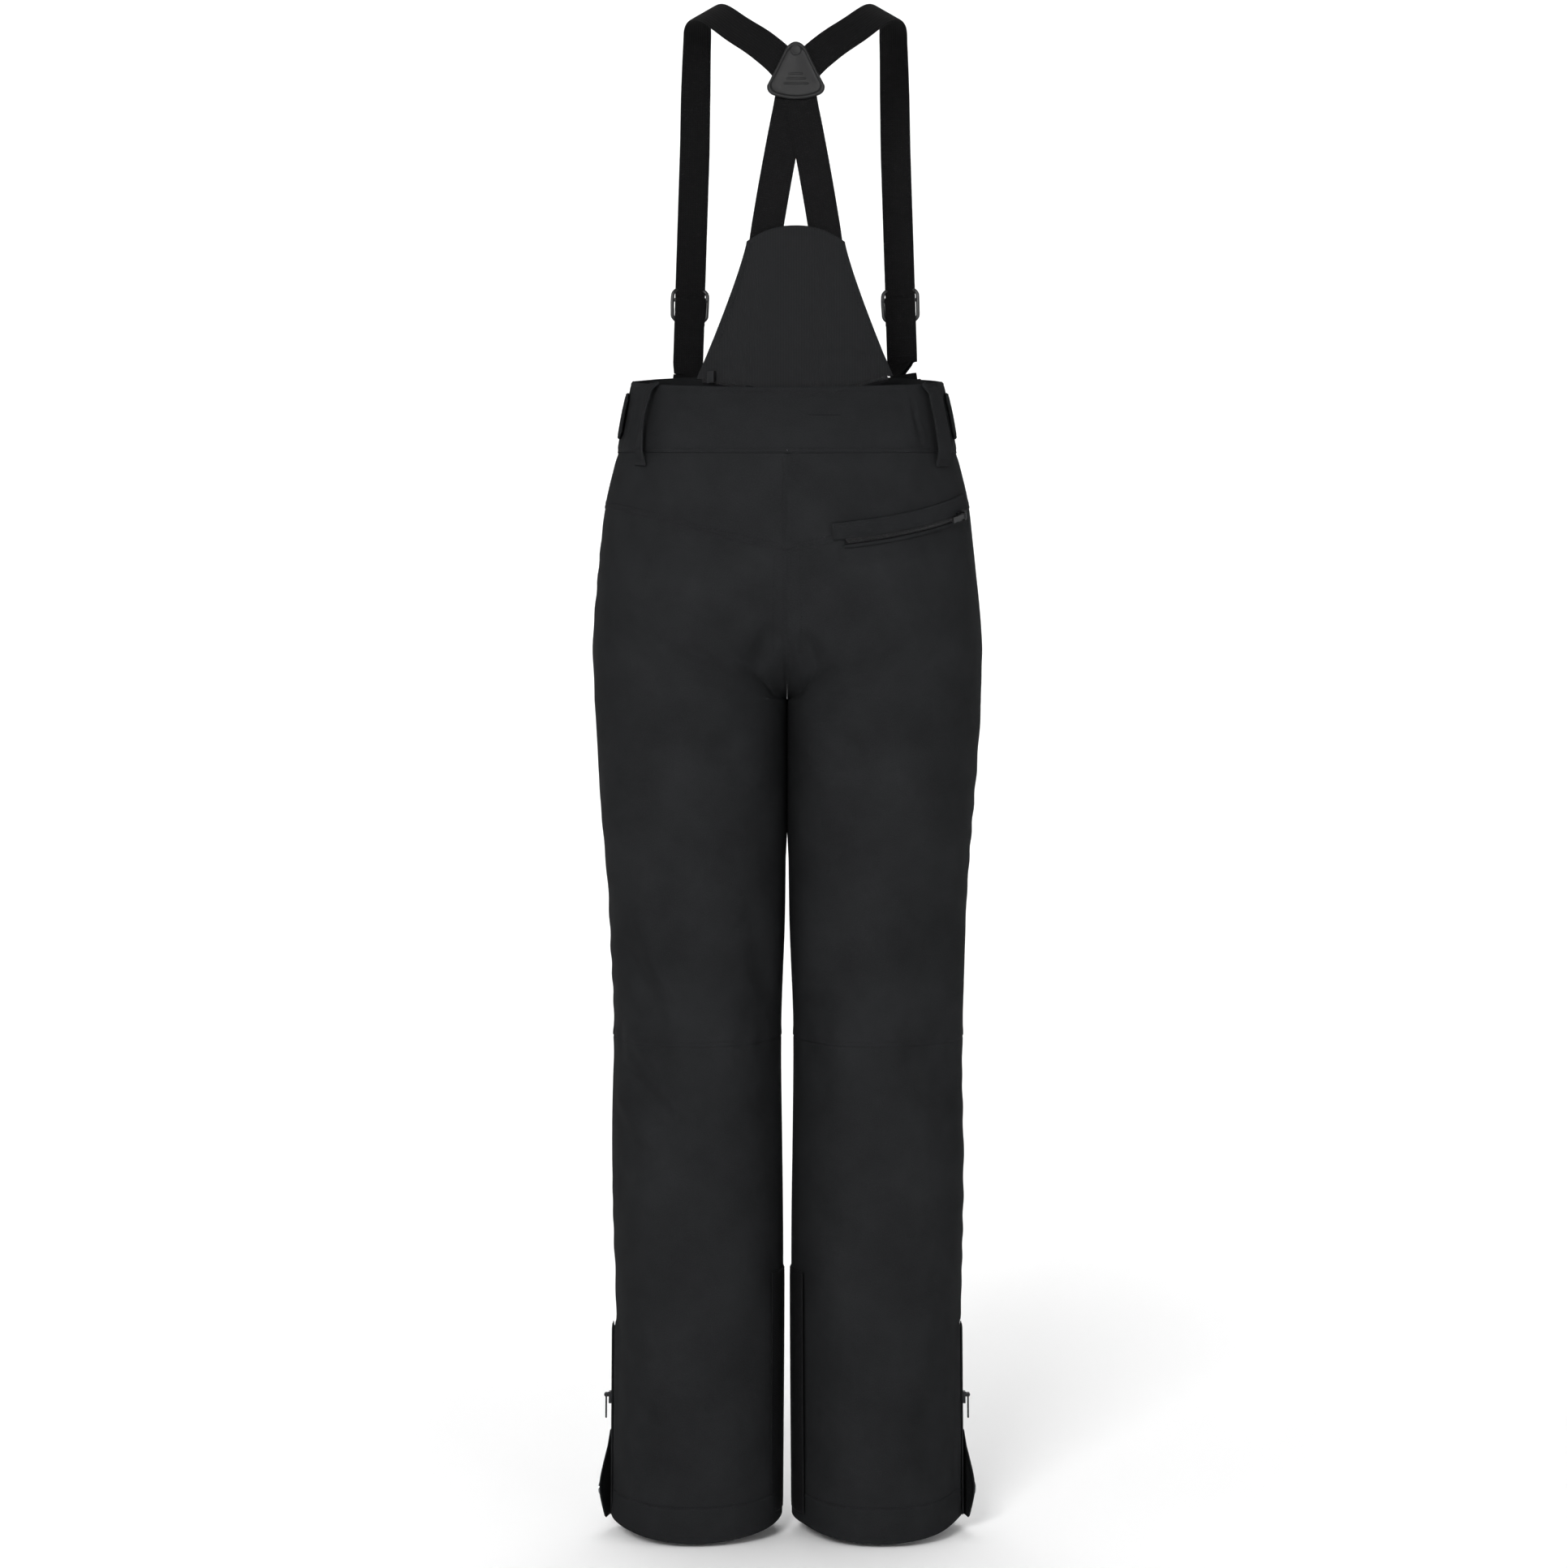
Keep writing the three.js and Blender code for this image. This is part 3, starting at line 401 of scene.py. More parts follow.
def band(name, path, outs, wide, thick, material, slot, square=0.35, around=20, taper=0):
    """A flat strip with rounded edges, with its middle on a path."""
    path, outs = np.asarray(path, float), np.asarray(outs, float)
    _, out, across = frames(path, outs)
    turn = np.linspace(0, 2 * math.pi, around, endpoint=False) + 0.01
    x = np.sign(np.cos(turn)) * np.abs(np.cos(turn)) ** square * wide / 2
    y = np.sign(np.sin(turn)) * np.abs(np.sin(turn)) ** 0.7 * thick / 2
    length = np.concatenate([[0], np.cumsum(np.linalg.norm(np.diff(path, axis=0), axis=1))])
    ends = np.minimum(length, length[-1] - length)
    keep = np.ones(len(path)) if not taper else np.clip(0.15 + ends / taper, 0, 1) ** 0.5
    ring = (
        path[:, None]
        + across[:, None] * x[None, :, None] * (keep if taper else np.ones(len(path)))[:, None, None]
        + out[:, None] * (y[None, :, None] * keep[:, None, None])
    )
    rows = len(path)
    verts = ring.reshape(-1, 3)
    i, j = np.meshgrid(np.arange(rows - 1), np.arange(around), indexing="ij")
    k = (j + 1) % around
    faces = np.stack([i * around + j, i * around + k, (i + 1) * around + k, (i + 1) * around + j], -1)
    faces = faces.reshape(-1, 4).tolist()
    faces.append(list(range(around))[::-1])
    faces.append([(rows - 1) * around + q for q in range(around)])
    uv = np.stack([np.broadcast_to(x, (rows, around)), np.repeat(length[:, None], around, 1)], -1)
    o = make(name, verts, faces, material, uv=uv.reshape(-1, 2))
    outward_faces(o)
    o.data.set_sharp_from_angle(angle=math.radians(55))
    return o


def outward_faces(o):
    import bmesh

    bm = bmesh.new()
    bm.from_mesh(o.data)
    bmesh.ops.recalc_face_normals(bm, faces=bm.faces)
    bm.to_mesh(o.data)
    bm.free()


def grains(centres, ahead, out, length, radius, around=6):
    """Small rounded bars, such as stitches or zip teeth, as (vertices, faces) of one mesh."""
    centres = np.asarray(centres, float)
    ahead, out = unit(np.asarray(ahead, float)), np.asarray(out, float)
    out = unit(out - ahead * (out * ahead).sum(-1, keepdims=True))
    across = np.cross(out, ahead)
    verts, rings = [], [(-0.5, 0.0), (-0.3, 0.85), (0.3, 0.85), (0.5, 0.0)]
    for along_, wide in rings[1:3]:
        for q in range(around):
            turn = 2 * math.pi * q / around
            verts.append(
                centres
                + ahead * along_ * length
                + (across * math.cos(turn) + out * math.sin(turn)) * radius * wide / 0.85
            )
    for s in (-0.5, 0.5):
        verts.append(centres + ahead * s * length - out * radius * 0.5)
    per = 2 * around + 2
    verts = np.stack(verts, 1).reshape(-1, 3)
    faces = []
    for q in range(around):
        r = (q + 1) % around
        faces.append((q, around + q, around + r, r))
        faces.append((2 * around, q, r, r))
        faces.append((2 * around + 1, around + r, around + q, around + q))
    faces = np.array(faces)
    every = (faces[None] + (np.arange(len(centres)) * per)[:, None, None]).reshape(-1, 4)
    return verts, every


class Bits:
    """Small bits gathered into one mesh."""

    def __init__(self):
        self.verts, self.faces, self.count = [], [], 0

    def add(self, verts, faces):
        self.verts.append(verts)
        self.faces.append(np.asarray(faces) + self.count)
        self.count += len(verts)

    def build(self, name, material, slot):
        faces = [list(dict.fromkeys(f)) for f in np.concatenate(self.faces).tolist()]
        o = make(name, np.concatenate(self.verts), faces, material)
        outward_faces(o)
        return o


def sew(bits, path, outs, pitch=3.2, length=2.5, radius=0.3, sink=0.05):
    """A row of stitches along a path lying on cloth."""
    both = resample(np.concatenate([path, outs], 1), pitch * MM)
    path, outs = both[:, :3], unit(both[:, 3:])
    ahead = unit(np.gradient(path, axis=0))
    bits.add(*grains(path - outs * sink * MM, ahead, outs, length * MM, radius * MM))


def lathe(name, profile, at, out, material, around=40):
    """A turned shape: profile is (radius, height) pairs along out, in millimetres."""
    out = unit(np.asarray(out, float))
    side = unit(np.cross(out, [0.31, 0.2, 0.9]))
    other = np.cross(out, side)
    verts = []
    for r, h in profile:
        for q in range(around):
            turn = 2 * math.pi * q / around
            verts.append(at + out * h * MM + (side * math.cos(turn) + other * math.sin(turn)) * r * MM)
    faces = []
    for i in range(len(profile) - 1):
        for q in range(around):
            r = (q + 1) % around
            faces.append((i * around + q, i * around + r, (i + 1) * around + r, (i + 1) * around + q))
    faces.append(list(range(around))[::-1])
    faces.append([(len(profile) - 1) * around + q for q in range(around)])
    o = make(name, verts, faces, material)
    outward_faces(o)
    o.data.set_sharp_from_angle(angle=math.radians(40))
    return o


# ---- materials -----------------------------------------------------------------------------------
def material(name, color, rough, metal=0.0, spec=0.3, sheen=0.0):
    m = bpy.data.materials.new(name)
    m.use_nodes = True
    tree = m.node_tree
    shader = tree.nodes["Principled BSDF"]
    shader.inputs["Base Color"].default_value = (*color, 1)
    shader.inputs["Roughness"].default_value = rough
    shader.inputs["Metallic"].default_value = metal
    shader.inputs["Specular IOR Level"].default_value = spec
    shader.inputs["Sheen Weight"].default_value = sheen
    shader.inputs["Sheen Roughness"].default_value = 0.45
    return m, tree, shader


def node(tree, kind, **inputs):
    n = tree.nodes.new(kind)
    for key, value in inputs.items():
        if key in n.bl_rna.properties:
            setattr(n, key, value)
        else:
            n.inputs[key.replace("_", " ")].default_value = value
    return n


def math_node(tree, operation, a, b=None):
    n = tree.nodes.new("ShaderNodeMath")
    n.operation = operation
    for k, value in enumerate((a, b)):
        if value is None:
            continue
        if isinstance(value, (int, float)):
            n.inputs[k].default_value = value
        else:
            tree.links.new(value, n.inputs[k])
    return n.outputs[0]


def noise(tree, coordinates, scale, detail=4.0, rough=0.55):
    n = node(tree, "ShaderNodeTexNoise", Scale=scale, Detail=detail, Roughness=rough)
    tree.links.new(coordinates, n.inputs["Vector"])
    return n.outputs["Fac"]


def cloth_plane(tree):
    n = tree.nodes.new("ShaderNodeUVMap")
    n.uv_map = "cloth"
    return n.outputs["UV"]


def solid_space(tree):
    return tree.nodes.new("ShaderNodeTexCoord").outputs["Object"]


def ribs(tree, coordinates, pitch, turn=0.0, sharp=1.0):
    """0 to 1 across ribs of that pitch in metres. turn is the ribs' angle in the cloth."""
    place = node(tree, "ShaderNodeMapping")
    place.inputs["Rotation"].default_value = (0, 0, turn)
    tree.links.new(coordinates, place.inputs["Vector"])
    split = tree.nodes.new("ShaderNodeSeparateXYZ")
    tree.links.new(place.outputs["Vector"], split.inputs["Vector"])
    wave = math_node(tree, "SINE", math_node(tree, "MULTIPLY", split.outputs["X"], 2 * math.pi / pitch))
    wave = math_node(tree, "MULTIPLY_ADD", wave, 0.5)
    wave.node.inputs[2].default_value = 0.5
    return math_node(tree, "POWER", wave, sharp) if sharp != 1 else wave


def bump(tree, shader, height, distance, strength=1.0, after=None):
    n = node(tree, "ShaderNodeBump", Strength=strength, Distance=distance)
    tree.links.new(height, n.inputs["Height"])
    if after is not None:
        tree.links.new(after, n.inputs["Normal"])
    tree.links.new(n.outputs["Normal"], shader.inputs["Normal"])
    return n.outputs["Normal"]


def shade(tree, shader, color, amount, share):
    """Base colour times (1 - share) to (1 + share), as amount goes from 0 to 1."""
    ramp = tree.nodes.new("ShaderNodeValToRGB")
    ramp.color_ramp.elements[0].color = (*[c * (1 - share) for c in color], 1)
    ramp.color_ramp.elements[1].color = (*[c * (1 + share) for c in color], 1)
    tree.links.new(amount, ramp.inputs["Fac"])
    tree.links.new(ramp.outputs["Color"], shader.inputs["Base Color"])
    return ramp


def spread_rough(tree, shader, amount, low_, high_):
    n = node(tree, "ShaderNodeMapRange")
    n.inputs["To Min"].default_value = low_
    n.inputs["To Max"].default_value = high_
    tree.links.new(amount, n.inputs["Value"])
    tree.links.new(n.outputs["Result"], shader.inputs["Roughness"])


def woven(name, color, rough=0.86, pitch=0.75 * MM, depth=0.12 * MM, sheen=0.02, spec=0.1, patches=14):
    """A close, fine twill with a brushed look: faint mottling, and a trace of creasing."""
    m, tree, shader = material(name, color, rough, spec=spec, sheen=sheen)
    flat = cloth_plane(tree)
    warp = ribs(tree, flat, pitch, math.radians(58))
    weft = ribs(tree, flat, pitch * 0.8, math.radians(-32))
    twill = math_node(tree, "MULTIPLY", warp, weft)
    fibre = noise(tree, flat, 900, 3)
    cloud = noise(tree, flat, patches, 5)
    crease = noise(tree, flat, 70, 4, 0.62)
    clouds, fibres = (math_node(tree, "MULTIPLY", part, 0.5) for part in (cloud, fibre))
    tone = math_node(tree, "ADD", clouds, fibres)
    ramp = shade(tree, shader, color, tone, 0.34)
    ramp.color_ramp.elements[0].position = 0.3
    ramp.color_ramp.elements[1].position = 0.7
    spread_rough(tree, shader, fibre, rough - 0.08, min(1, rough + 0.08))
    first = bump(tree, shader, crease, 0.8 * MM, 0.5)
    bump(tree, shader, math_node(tree, "ADD", twill, fibre), depth, 0.7, after=first)
    return m


def ribbed(name, color, rough, pitch, depth, turn=0.0, spec=0.2, sheen=0.1, cross=None):
    m, tree, shader = material(name, color, rough, spec=spec, sheen=sheen)
    flat = cloth_plane(tree)
    height = ribs(tree, flat, pitch, turn)
    if cross:
        height = math_node(tree, "MULTIPLY", height, ribs(tree, flat, cross, turn + math.pi / 2))
    fibre = noise(tree, flat, 1100, 2)
    # The colour follows the rib height: painted shade darkens the grooves between the ribs and painted light
    # brightens their tops, mixed with a random fibre tone.
    painted_rib_shade, fibre_part = math_node(tree, "MULTIPLY", height, 0.6), math_node(tree, "MULTIPLY", fibre, 0.4)
    tone = math_node(tree, "ADD", painted_rib_shade, fibre_part)
    shade(tree, shader, color, tone, 0.4)
    spread_rough(tree, shader, fibre, rough - 0.06, min(1, rough + 0.06))
    bump(tree, shader, math_node(tree, "ADD", height, math_node(tree, "MULTIPLY", fibre, 0.25)), depth, 0.9)
    return m


def hard(name, color, rough, metal=0.0, spec=0.5, grain=0.05 * MM, scale=420, marks=0.12):
    """Moulded plastic or worn metal: an uneven gloss with fine grain and small scuffs."""
    m, tree, shader = material(name, color, rough, metal, spec=spec)
    place = solid_space(tree)
    fine = noise(tree, place, scale, 4)
    worn = noise(tree, place, 60, 5, 0.65)
    shade(tree, shader, color, worn, 0.18)
    spread_rough(tree, shader, worn, max(0.05, rough - marks), min(1, rough + marks))
    bump(tree, shader, fine, grain, 0.5)
    return m


SOFTSHELL = woven("softshell", (0.0104, 0.0108, 0.0114), spec=0.02, sheen=0.0)
BAND = woven("band_fabric", (0.0101, 0.0105, 0.0111), rough=0.84, spec=0.02, sheen=0.0)
RIB = ribbed("stretch_rib", (0.0101, 0.0104, 0.0109), 0.9, 1.5 * MM, 0.22 * MM, spec=0.02, sheen=0.0)
WEBBING = ribbed(
    "webbing", (0.0052, 0.0052, 0.0054), 0.9, 1.9 * MM, 0.3 * MM, math.pi / 2,
    spec=0.03, sheen=0.0, cross=2.4 * MM,
)
MOULDED = hard("moulded_patch", (0.0088, 0.0088, 0.0090), 0.5, spec=0.12, grain=0.12 * MM)
GLOSS = hard("gloss_plastic", (0.006, 0.006, 0.0064), 0.34, spec=0.22, grain=0.02 * MM)
METAL = hard("brushed_metal", (0.36, 0.37, 0.38), 0.32, metal=1.0, grain=0.03 * MM, scale=900)
# The zip's coil and tape are coloured darker than the cloth: partly their own black, partly painted shade for
# the dark gap under the back pocket's welt.
TEETH = hard("zip_coil", (0.0040, 0.0040, 0.0045), 0.5, spec=0.2)
TAPE = ribbed(
    "zip_tape", (0.0036, 0.0036, 0.004), 0.9, 0.9 * MM, 0.1 * MM, math.radians(45), spec=0.05, sheen=0.0
)
GUARD = ribbed(
    "scuff_guard", (0.0042, 0.0043, 0.0048), 0.7, 1.2 * MM, 0.14 * MM, spec=0.12, sheen=0.0, cross=1.2 * MM
)
LINER = woven("liner", (0.010, 0.0105, 0.0118), rough=0.62, pitch=0.6 * MM, depth=0.08 * MM, spec=0.2)
GUNMETAL = hard("gunmetal", (0.02, 0.0205, 0.0215), 0.42, metal=1.0, grain=0.03 * MM, scale=900)
THREAD = hard("thread", (0.0072, 0.0074, 0.0082), 0.8, spec=0.05, grain=0.05 * MM, scale=2500)


# ---- zips' lines, shared by the cloth round them -------------------------------------------------
class Track:
    """A straight zip: its top and foot, and its own directions."""

    def __init__(self, side, a, top_z, foot_z):
        self.a = a
        self.side = side
        top, foot = surface(a, top_z), surface(a, foot_z)
        out = outward(min(a, 0.998), (top_z + foot_z) / 2)
        if a == 1:
            top[0] = foot[0] = out[0] = 0
        self.top, self.foot = flip(top, side), flip(foot, side)
        self.down = unit(self.foot - self.top)
        out = flip(out, side)
        self.out = unit(out - self.down * out.dot(self.down))
        self.across = np.cross(self.out, self.down)
        self.length = float(np.linalg.norm(self.foot - self.top))

    def line(self, step=2 * MM, lift=0.0, aside=0.0, start=0.0, end=0.0):
        t = np.arange(start, self.length - end + step / 2, step)[:, None]
        path = self.top + self.down * t + self.out * lift + self.across * aside
        return path, np.repeat(self.out[None], len(path), 0)


FLY = Track(1, 1, -84 * MM, -212 * MM)
HANDS = {name: Track(side, 0.67, -98 * MM, -238 * MM) for name, side in SIDES}
ANKLES = {name: Track(side, 0.5, HEM_Z + 192 * MM, HEM_Z + 16 * MM) for name, side in SIDES}


class Arc:
    """The back pocket's zip, on a circle round the right hip."""

    def __init__(self):
        p, q, r = surface(0.078, -161 * MM), surface(0.215, -149 * MM), surface(0.41, -128 * MM)
        self.axis = unit(np.cross(q - p, r - p))
        u, v = q - p, r - p
        w = np.cross(u, v)
        self.centre = p + (np.cross(w, u) * v.dot(v) + np.cross(v, w) * u.dot(u)) / (2 * w.dot(w))
        self.radius = float(np.linalg.norm(p - self.centre))
        self.first = unit(p - self.centre)
        self.second = np.cross(self.axis, self.first)
        end = r - self.centre
        self.sweep = math.atan2(end.dot(self.second), end.dot(self.first))

    def line(self, lift=0.0, height=0.0, start=0.0, end=1.0, count=90):
        turn = np.linspace(start, end, count)[:, None] * self.sweep
        out = self.first * np.cos(turn) + self.second * np.sin(turn)
        return self.centre + out * (self.radius + lift) + self.axis * height, out

    def near(self, p):
        """Height across the zip, the share of the way along it, and how far inside it p lies."""
        v = p - self.centre
        turn = np.arctan2(v @ self.second, v @ self.first)
        height = v @ self.axis
        radial = np.linalg.norm(v - height[..., None] * self.axis, axis=-1)
        return height, turn / self.sweep, self.radius - radial


POCKET = Arc()


# ---- the worn cloth ------------------------------------------------------------------------------
def bell(d, width):
    return np.exp(-((d / width) ** 2))


def crease(x, z, start, end, width, height, fade=0.35):
    """A soft ridge, or with a negative height a valley, along a line across the back."""
    (x0, z0), (x1, z1) = start, end
    length = math.hypot(x1 - x0, z1 - z0)
    ux, uz = (x1 - x0) / length, (z1 - z0) / length
    t = ((x - x0) * ux + (z - z0) * uz) / length
    d = (x - x0) * uz - (z - z0) * ux
    ends = ease(t / fade) * ease((1 - t) / fade)
    return height * bell(d, width * (0.55 + 0.45 * ends)) * ends


# Folds across the back, in metres: from (x, z), to (x, z), half width and height.
BACK_FOLDS = [
    ((-0.148, -0.50), (-0.095, -0.605), 0.011, 0.0034),
    ((-0.160, -0.53), (-0.112, -0.625), 0.009, -0.0030),
    ((-0.158, -0.61), (-0.105, -0.665), 0.010, 0.0030),
    ((-0.168, -0.645), (-0.095, -0.715), 0.010, -0.0036),
    ((-0.170, -0.67), (-0.110, -0.74), 0.010, 0.0028),
    ((-0.172, -0.78), (-0.120, -0.72), 0.016, -0.0024),
    ((-0.150, -0.84), (-0.118, -0.70), 0.016, 0.0020),
    ((-0.035, -0.48), (-0.018, -0.60), 0.012, -0.0022),
    ((0.165, -0.57), (0.115, -0.64), 0.011, 0.0020),
    ((0.168, -0.655), (0.12, -0.70), 0.012, -0.0018),
    ((0.150, -0.44), (0.135, -0.60), 0.018, -0.0020),
    ((0.018, -0.62), (0.040, -0.70), 0.012, -0.0018),
    ((-0.150, -0.33), (-0.130, -0.50), 0.020, -0.0020),
    ((-0.070, -0.335), (-0.028, -0.39), 0.018, -0.0030),
    ((0.068, -0.335), (0.026, -0.38), 0.018, -0.0026),
    ((-0.030, -0.285), (-0.012, -0.235), 0.010, -0.0030),
    ((0.030, -0.285), (0.012, -0.240), 0.010, -0.0026),
    ((-0.055, -0.300), (-0.032, -0.225), 0.014, 0.0020),
    ((0.060, -0.310), (0.030, -0.220), 0.014, 0.0018),
    ((-0.062, -0.42), (-0.040, -0.56), 0.016, -0.0018),
    ((0.055, -0.43), (0.040, -0.60), 0.016, -0.0016),
    ((-0.140, -0.95), (-0.125, -1.06), 0.014, -0.0018),
    ((0.140, -0.93), (0.128, -1.05), 0.014, -0.0020),
    ((0.060, -0.90), (0.085, -1.02), 0.022, 0.0014),
    ((-0.085, -0.82), (-0.070, -0.98), 0.026, 0.0014),
]
# Folds across the front: at the hips, over the knees and down the shins.
FRONT_FOLDS = [
    ((-0.035, -0.275), (-0.120, -0.235), 0.012, -0.0026),
    ((0.035, -0.275), (0.120, -0.235), 0.012, -0.0026),
    ((-0.030, -0.300), (-0.110, -0.285), 0.012, 0.0020),
    ((0.030, -0.300), (0.115, -0.280), 0.012, 0.0020),
    ((-0.140, -0.50), (-0.070, -0.56), 0.016, -0.0020),
    ((0.150, -0.48), (0.080, -0.55), 0.016, -0.0020),
    ((-0.060, -0.68), (-0.140, -0.73), 0.014, -0.0024),
    ((0.050, -0.69), (0.135, -0.735), 0.014, -0.0022),
    ((-0.050, -0.86), (-0.110, -0.92), 0.020, 0.0016),
    ((0.060, -0.84), (0.120, -0.91), 0.020, 0.0018),
]


def folds(side, a, z, p, n):
    x = p[..., 0] * side
    back = ease(-n[..., 1] * 1.6 + 0.25)
    front = ease(n[..., 1] * 1.6 + 0.25)
    h = 0.0 * z
    for start, end, width, height in BACK_FOLDS:
        if (start[0] > 0) == (side > 0):
            h = h + 1.7 * back * crease(x, z, start, end, width, height)
    for start, end, width, height in FRONT_FOLDS:
        if (start[0] > 0) == (side > 0):
            h = h + 1.5 * front * crease(x, z, start, end, width, height)
    # Cloth that hangs in long soft waves down each leg, more below the knee.
    turn = 2 * np.pi * a
    hang = np.sin(3 * turn + 1.1 * side + 4.2 * z) + 0.7 * np.sin(5 * turn - 0.6 * side - 3.1 * z)
    h = h + 0.0017 * hang * ease((CROTCH_Z - 40 * MM - z) / 0.25)
    # Small puckers on both sides of the side seams and the knee seams.
    u = a * ROUND_LEG
    loose = ease((-95 * MM - z) / 0.1)
    h = h + 0.0011 * waves(u, z, 21 if side < 0 else 22, shortest=0.05, longest=0.2, stretch=2.0) * loose
    seam_x = np.minimum(np.abs(a - 0.5), 0.5) * ROUND_LEG
    fades = 0.5 + 0.5 * np.sin(z * 17 + 2 * side)
    pucker = np.sin(z * 2 * np.pi / 0.034 + 2 * np.sin(z * 31 + side)) * fades
    h = h + 0.0005 * pucker * bell(seam_x, 0.02) * loose
    knee_d = z - KNEE_Z
    h = h + 0.0006 * np.sin(u * 2 * np.pi / 0.031 + side) * bell(knee_d, 0.014)
    # Where the legs meet, the halves press on each other and stay as cut.
    middle = p[..., 0] / MM
    h = h * ease((middle - 1) / 16)
    edge = np.minimum(np.abs(a), np.abs(1 - a)) * ROUND_LEG
    touch = along(LEG_INNER, z) - 0.12 * MM
    h = h + touch * bell(edge, 26 * MM) * (z <= CROTCH_Z) * ease((z + 0.462) / 0.035)
    # Just under the waistband the cloth is drawn in a little.
    return h - 0.0009 * bell(z - band_foot(np.clip(a, 0, 1)), 0.006)


def groove(d, deep=0.9 * MM, width=0.8 * MM, swell=0.35 * MM):
    """A pressed seam at distance d: a narrow valley between two slight swells."""
    return swell * bell(np.abs(d) - 3.2 * MM, 2.2 * MM) - deep * bell(d, width)


def step_seam(d, rise=0.55 * MM, reach=6 * MM):
    """A lapped seam: the cloth above it (d > 0) is raised by its turned allowance."""
    raised = rise * ease(d / (0.7 * MM)) * (1 - ease((d - reach) / (2.5 * MM)))
    return raised - 0.5 * MM * bell(d + 0.4 * MM, 0.7 * MM) - 0.3 * MM * bell(d - reach * 0.75, 0.6 * MM)


def seams(a, z):
    half_way = mix(390 * MM, ROUND_LEG, ease((CROTCH_Z + 50 * MM - z) / (60 * MM)))
    h = np.zeros_like(z + a)
    # The side seam, the centre seams and the inner seams.
    h = h + groove((a - 0.5) * half_way)
    edge = np.minimum(a, 1 - a)
    h = h + groove(edge * half_way, deep=0.8 * MM, swell=0.3 * MM)
    # The yoke is lapped over the seat.
    yoke = z - yoke_seam(np.clip(a, 0, 1))
    h = h + step_seam(yoke) * ease((0.5 - a) * 60)
    # The knee seams run a little lower on the outer side.
    h = h + step_seam(z - knee_seam(a), rise=0.4 * MM)
    # The turned-up hem, and its line of stitches.
    hem = z - (HEM_Z + HEM_TURN)
    h = h + 0.7 * MM * (1 - ease((hem + 0.5 * MM) / (1.2 * MM))) - 0.8 * MM * bell(hem, 0.9 * MM)
    h = h - 0.5 * MM * bell(z - HEM_Z, 1.2 * MM)
    return h


def openings(side, p, h):
    """The cloth goes down under each zip, and comes up to it on both sides."""
    q = flip(p, side)
    for track in (FLY, HANDS["left" if side < 0 else "right"], ANKLES["left" if side < 0 else "right"]):
        v = q - track.top
        t = v @ track.down
        aside = v @ track.across
        height = v @ track.out
        ends = ease((t + 9 * MM) / (9 * MM)) * ease((track.length + 9 * MM - t) / (9 * MM))
        near = ends * (1 - ease((np.abs(aside) - 9 * MM) / (22 * MM))) * (np.abs(height) < 30 * MM)
        h = mix(h, -height - 0.55 * MM - 0.5 * MM * (1 - ease((np.abs(aside) - 4 * MM) / (4 * MM))), near)
    if side > 0:
        across, share, inside = POCKET.near(p)
        length = POCKET.radius * POCKET.sweep
        ends = ease((share * length + 8 * MM) / (8 * MM)) * ease((length * (1 - share) + 8 * MM) / (8 * MM))
        near = ends * (1 - ease((np.abs(across) - 8 * MM) / (16 * MM))) * (np.abs(inside) < 30 * MM)
        h = mix(h, inside - 1.5 * MM + 0.6 * MM * ease((np.abs(across) - 4 * MM) / (5 * MM)), near)
    return h


def cloth_at(side, a, z, lift=0.0):
    """The outside of the cloth as worn, mirrored to a side."""
    a, z = np.broadcast_arrays(np.asarray(a, float), np.asarray(z, float))
    p, n = surface(a, z), outward(a, z)
    h = folds(side, a, z, p, n)
    h = openings(side, p, h + seams(a, z))
    q = p + n * (h + lift)[..., None]
    # The hem hangs lowest at the back and the front.
    q[..., 2] += 12 * MM * (0.5 + 0.5 * np.cos(4 * np.pi * a)) * ease((HEM_Z + 70 * MM - z) / (70 * MM))
    return flip(q, side), flip(n, side)


def round_columns():
    """Shares of the way round, close together at the side seam and the ends."""
    half = spaced(0.5 * ROUND_LEG, 4.5 * MM)
    return np.concatenate([half * 0.5, 0.5 + half[1:] * 0.5])


SPLIT_Z = -0.55
COLUMNS = round_columns()


def cloth_rows():
    """z of each row at each column: waist seam, yoke, crotch, knee and hem are all rows."""
    rows = []
    foot, yoke = band_foot(COLUMNS), yoke_seam(COLUMNS)
    for t in spaced(70 * MM, 4 * MM)[:-1]:
        rows.append(mix(foot + 3 * MM, yoke, t))
    steps = spaced(160 * MM, 4 * MM, end=False)
    for t in steps[:-1]:
        rows.append(mix(yoke, CROTCH_Z + 0 * yoke, np.sin(t * math.pi / 2)))
    for top, foot_, start, end in (
        (CROTCH_Z, KNEE_Z - 3 * MM, False, True),
        (KNEE_Z - 3 * MM, HEM_Z + HEM_TURN, True, True),
        (HEM_Z + HEM_TURN, HEM_Z, True, True),
    ):
        for t in spaced(top - foot_, 4.5 * MM, start, end)[:-1]:
            rows.append(mix(top, foot_, t) + 0 * foot)
    rows.append(HEM_Z + 0 * foot)
    return np.array(rows)


ROWS = cloth_rows()
split = int(np.argmin(np.abs(ROWS[:, 0] - SPLIT_Z)))
SPLIT_Z = float(ROWS[split, 0])


def hip_bend(o):
    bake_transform(o)


def knee_bend(o):
    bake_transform(o)


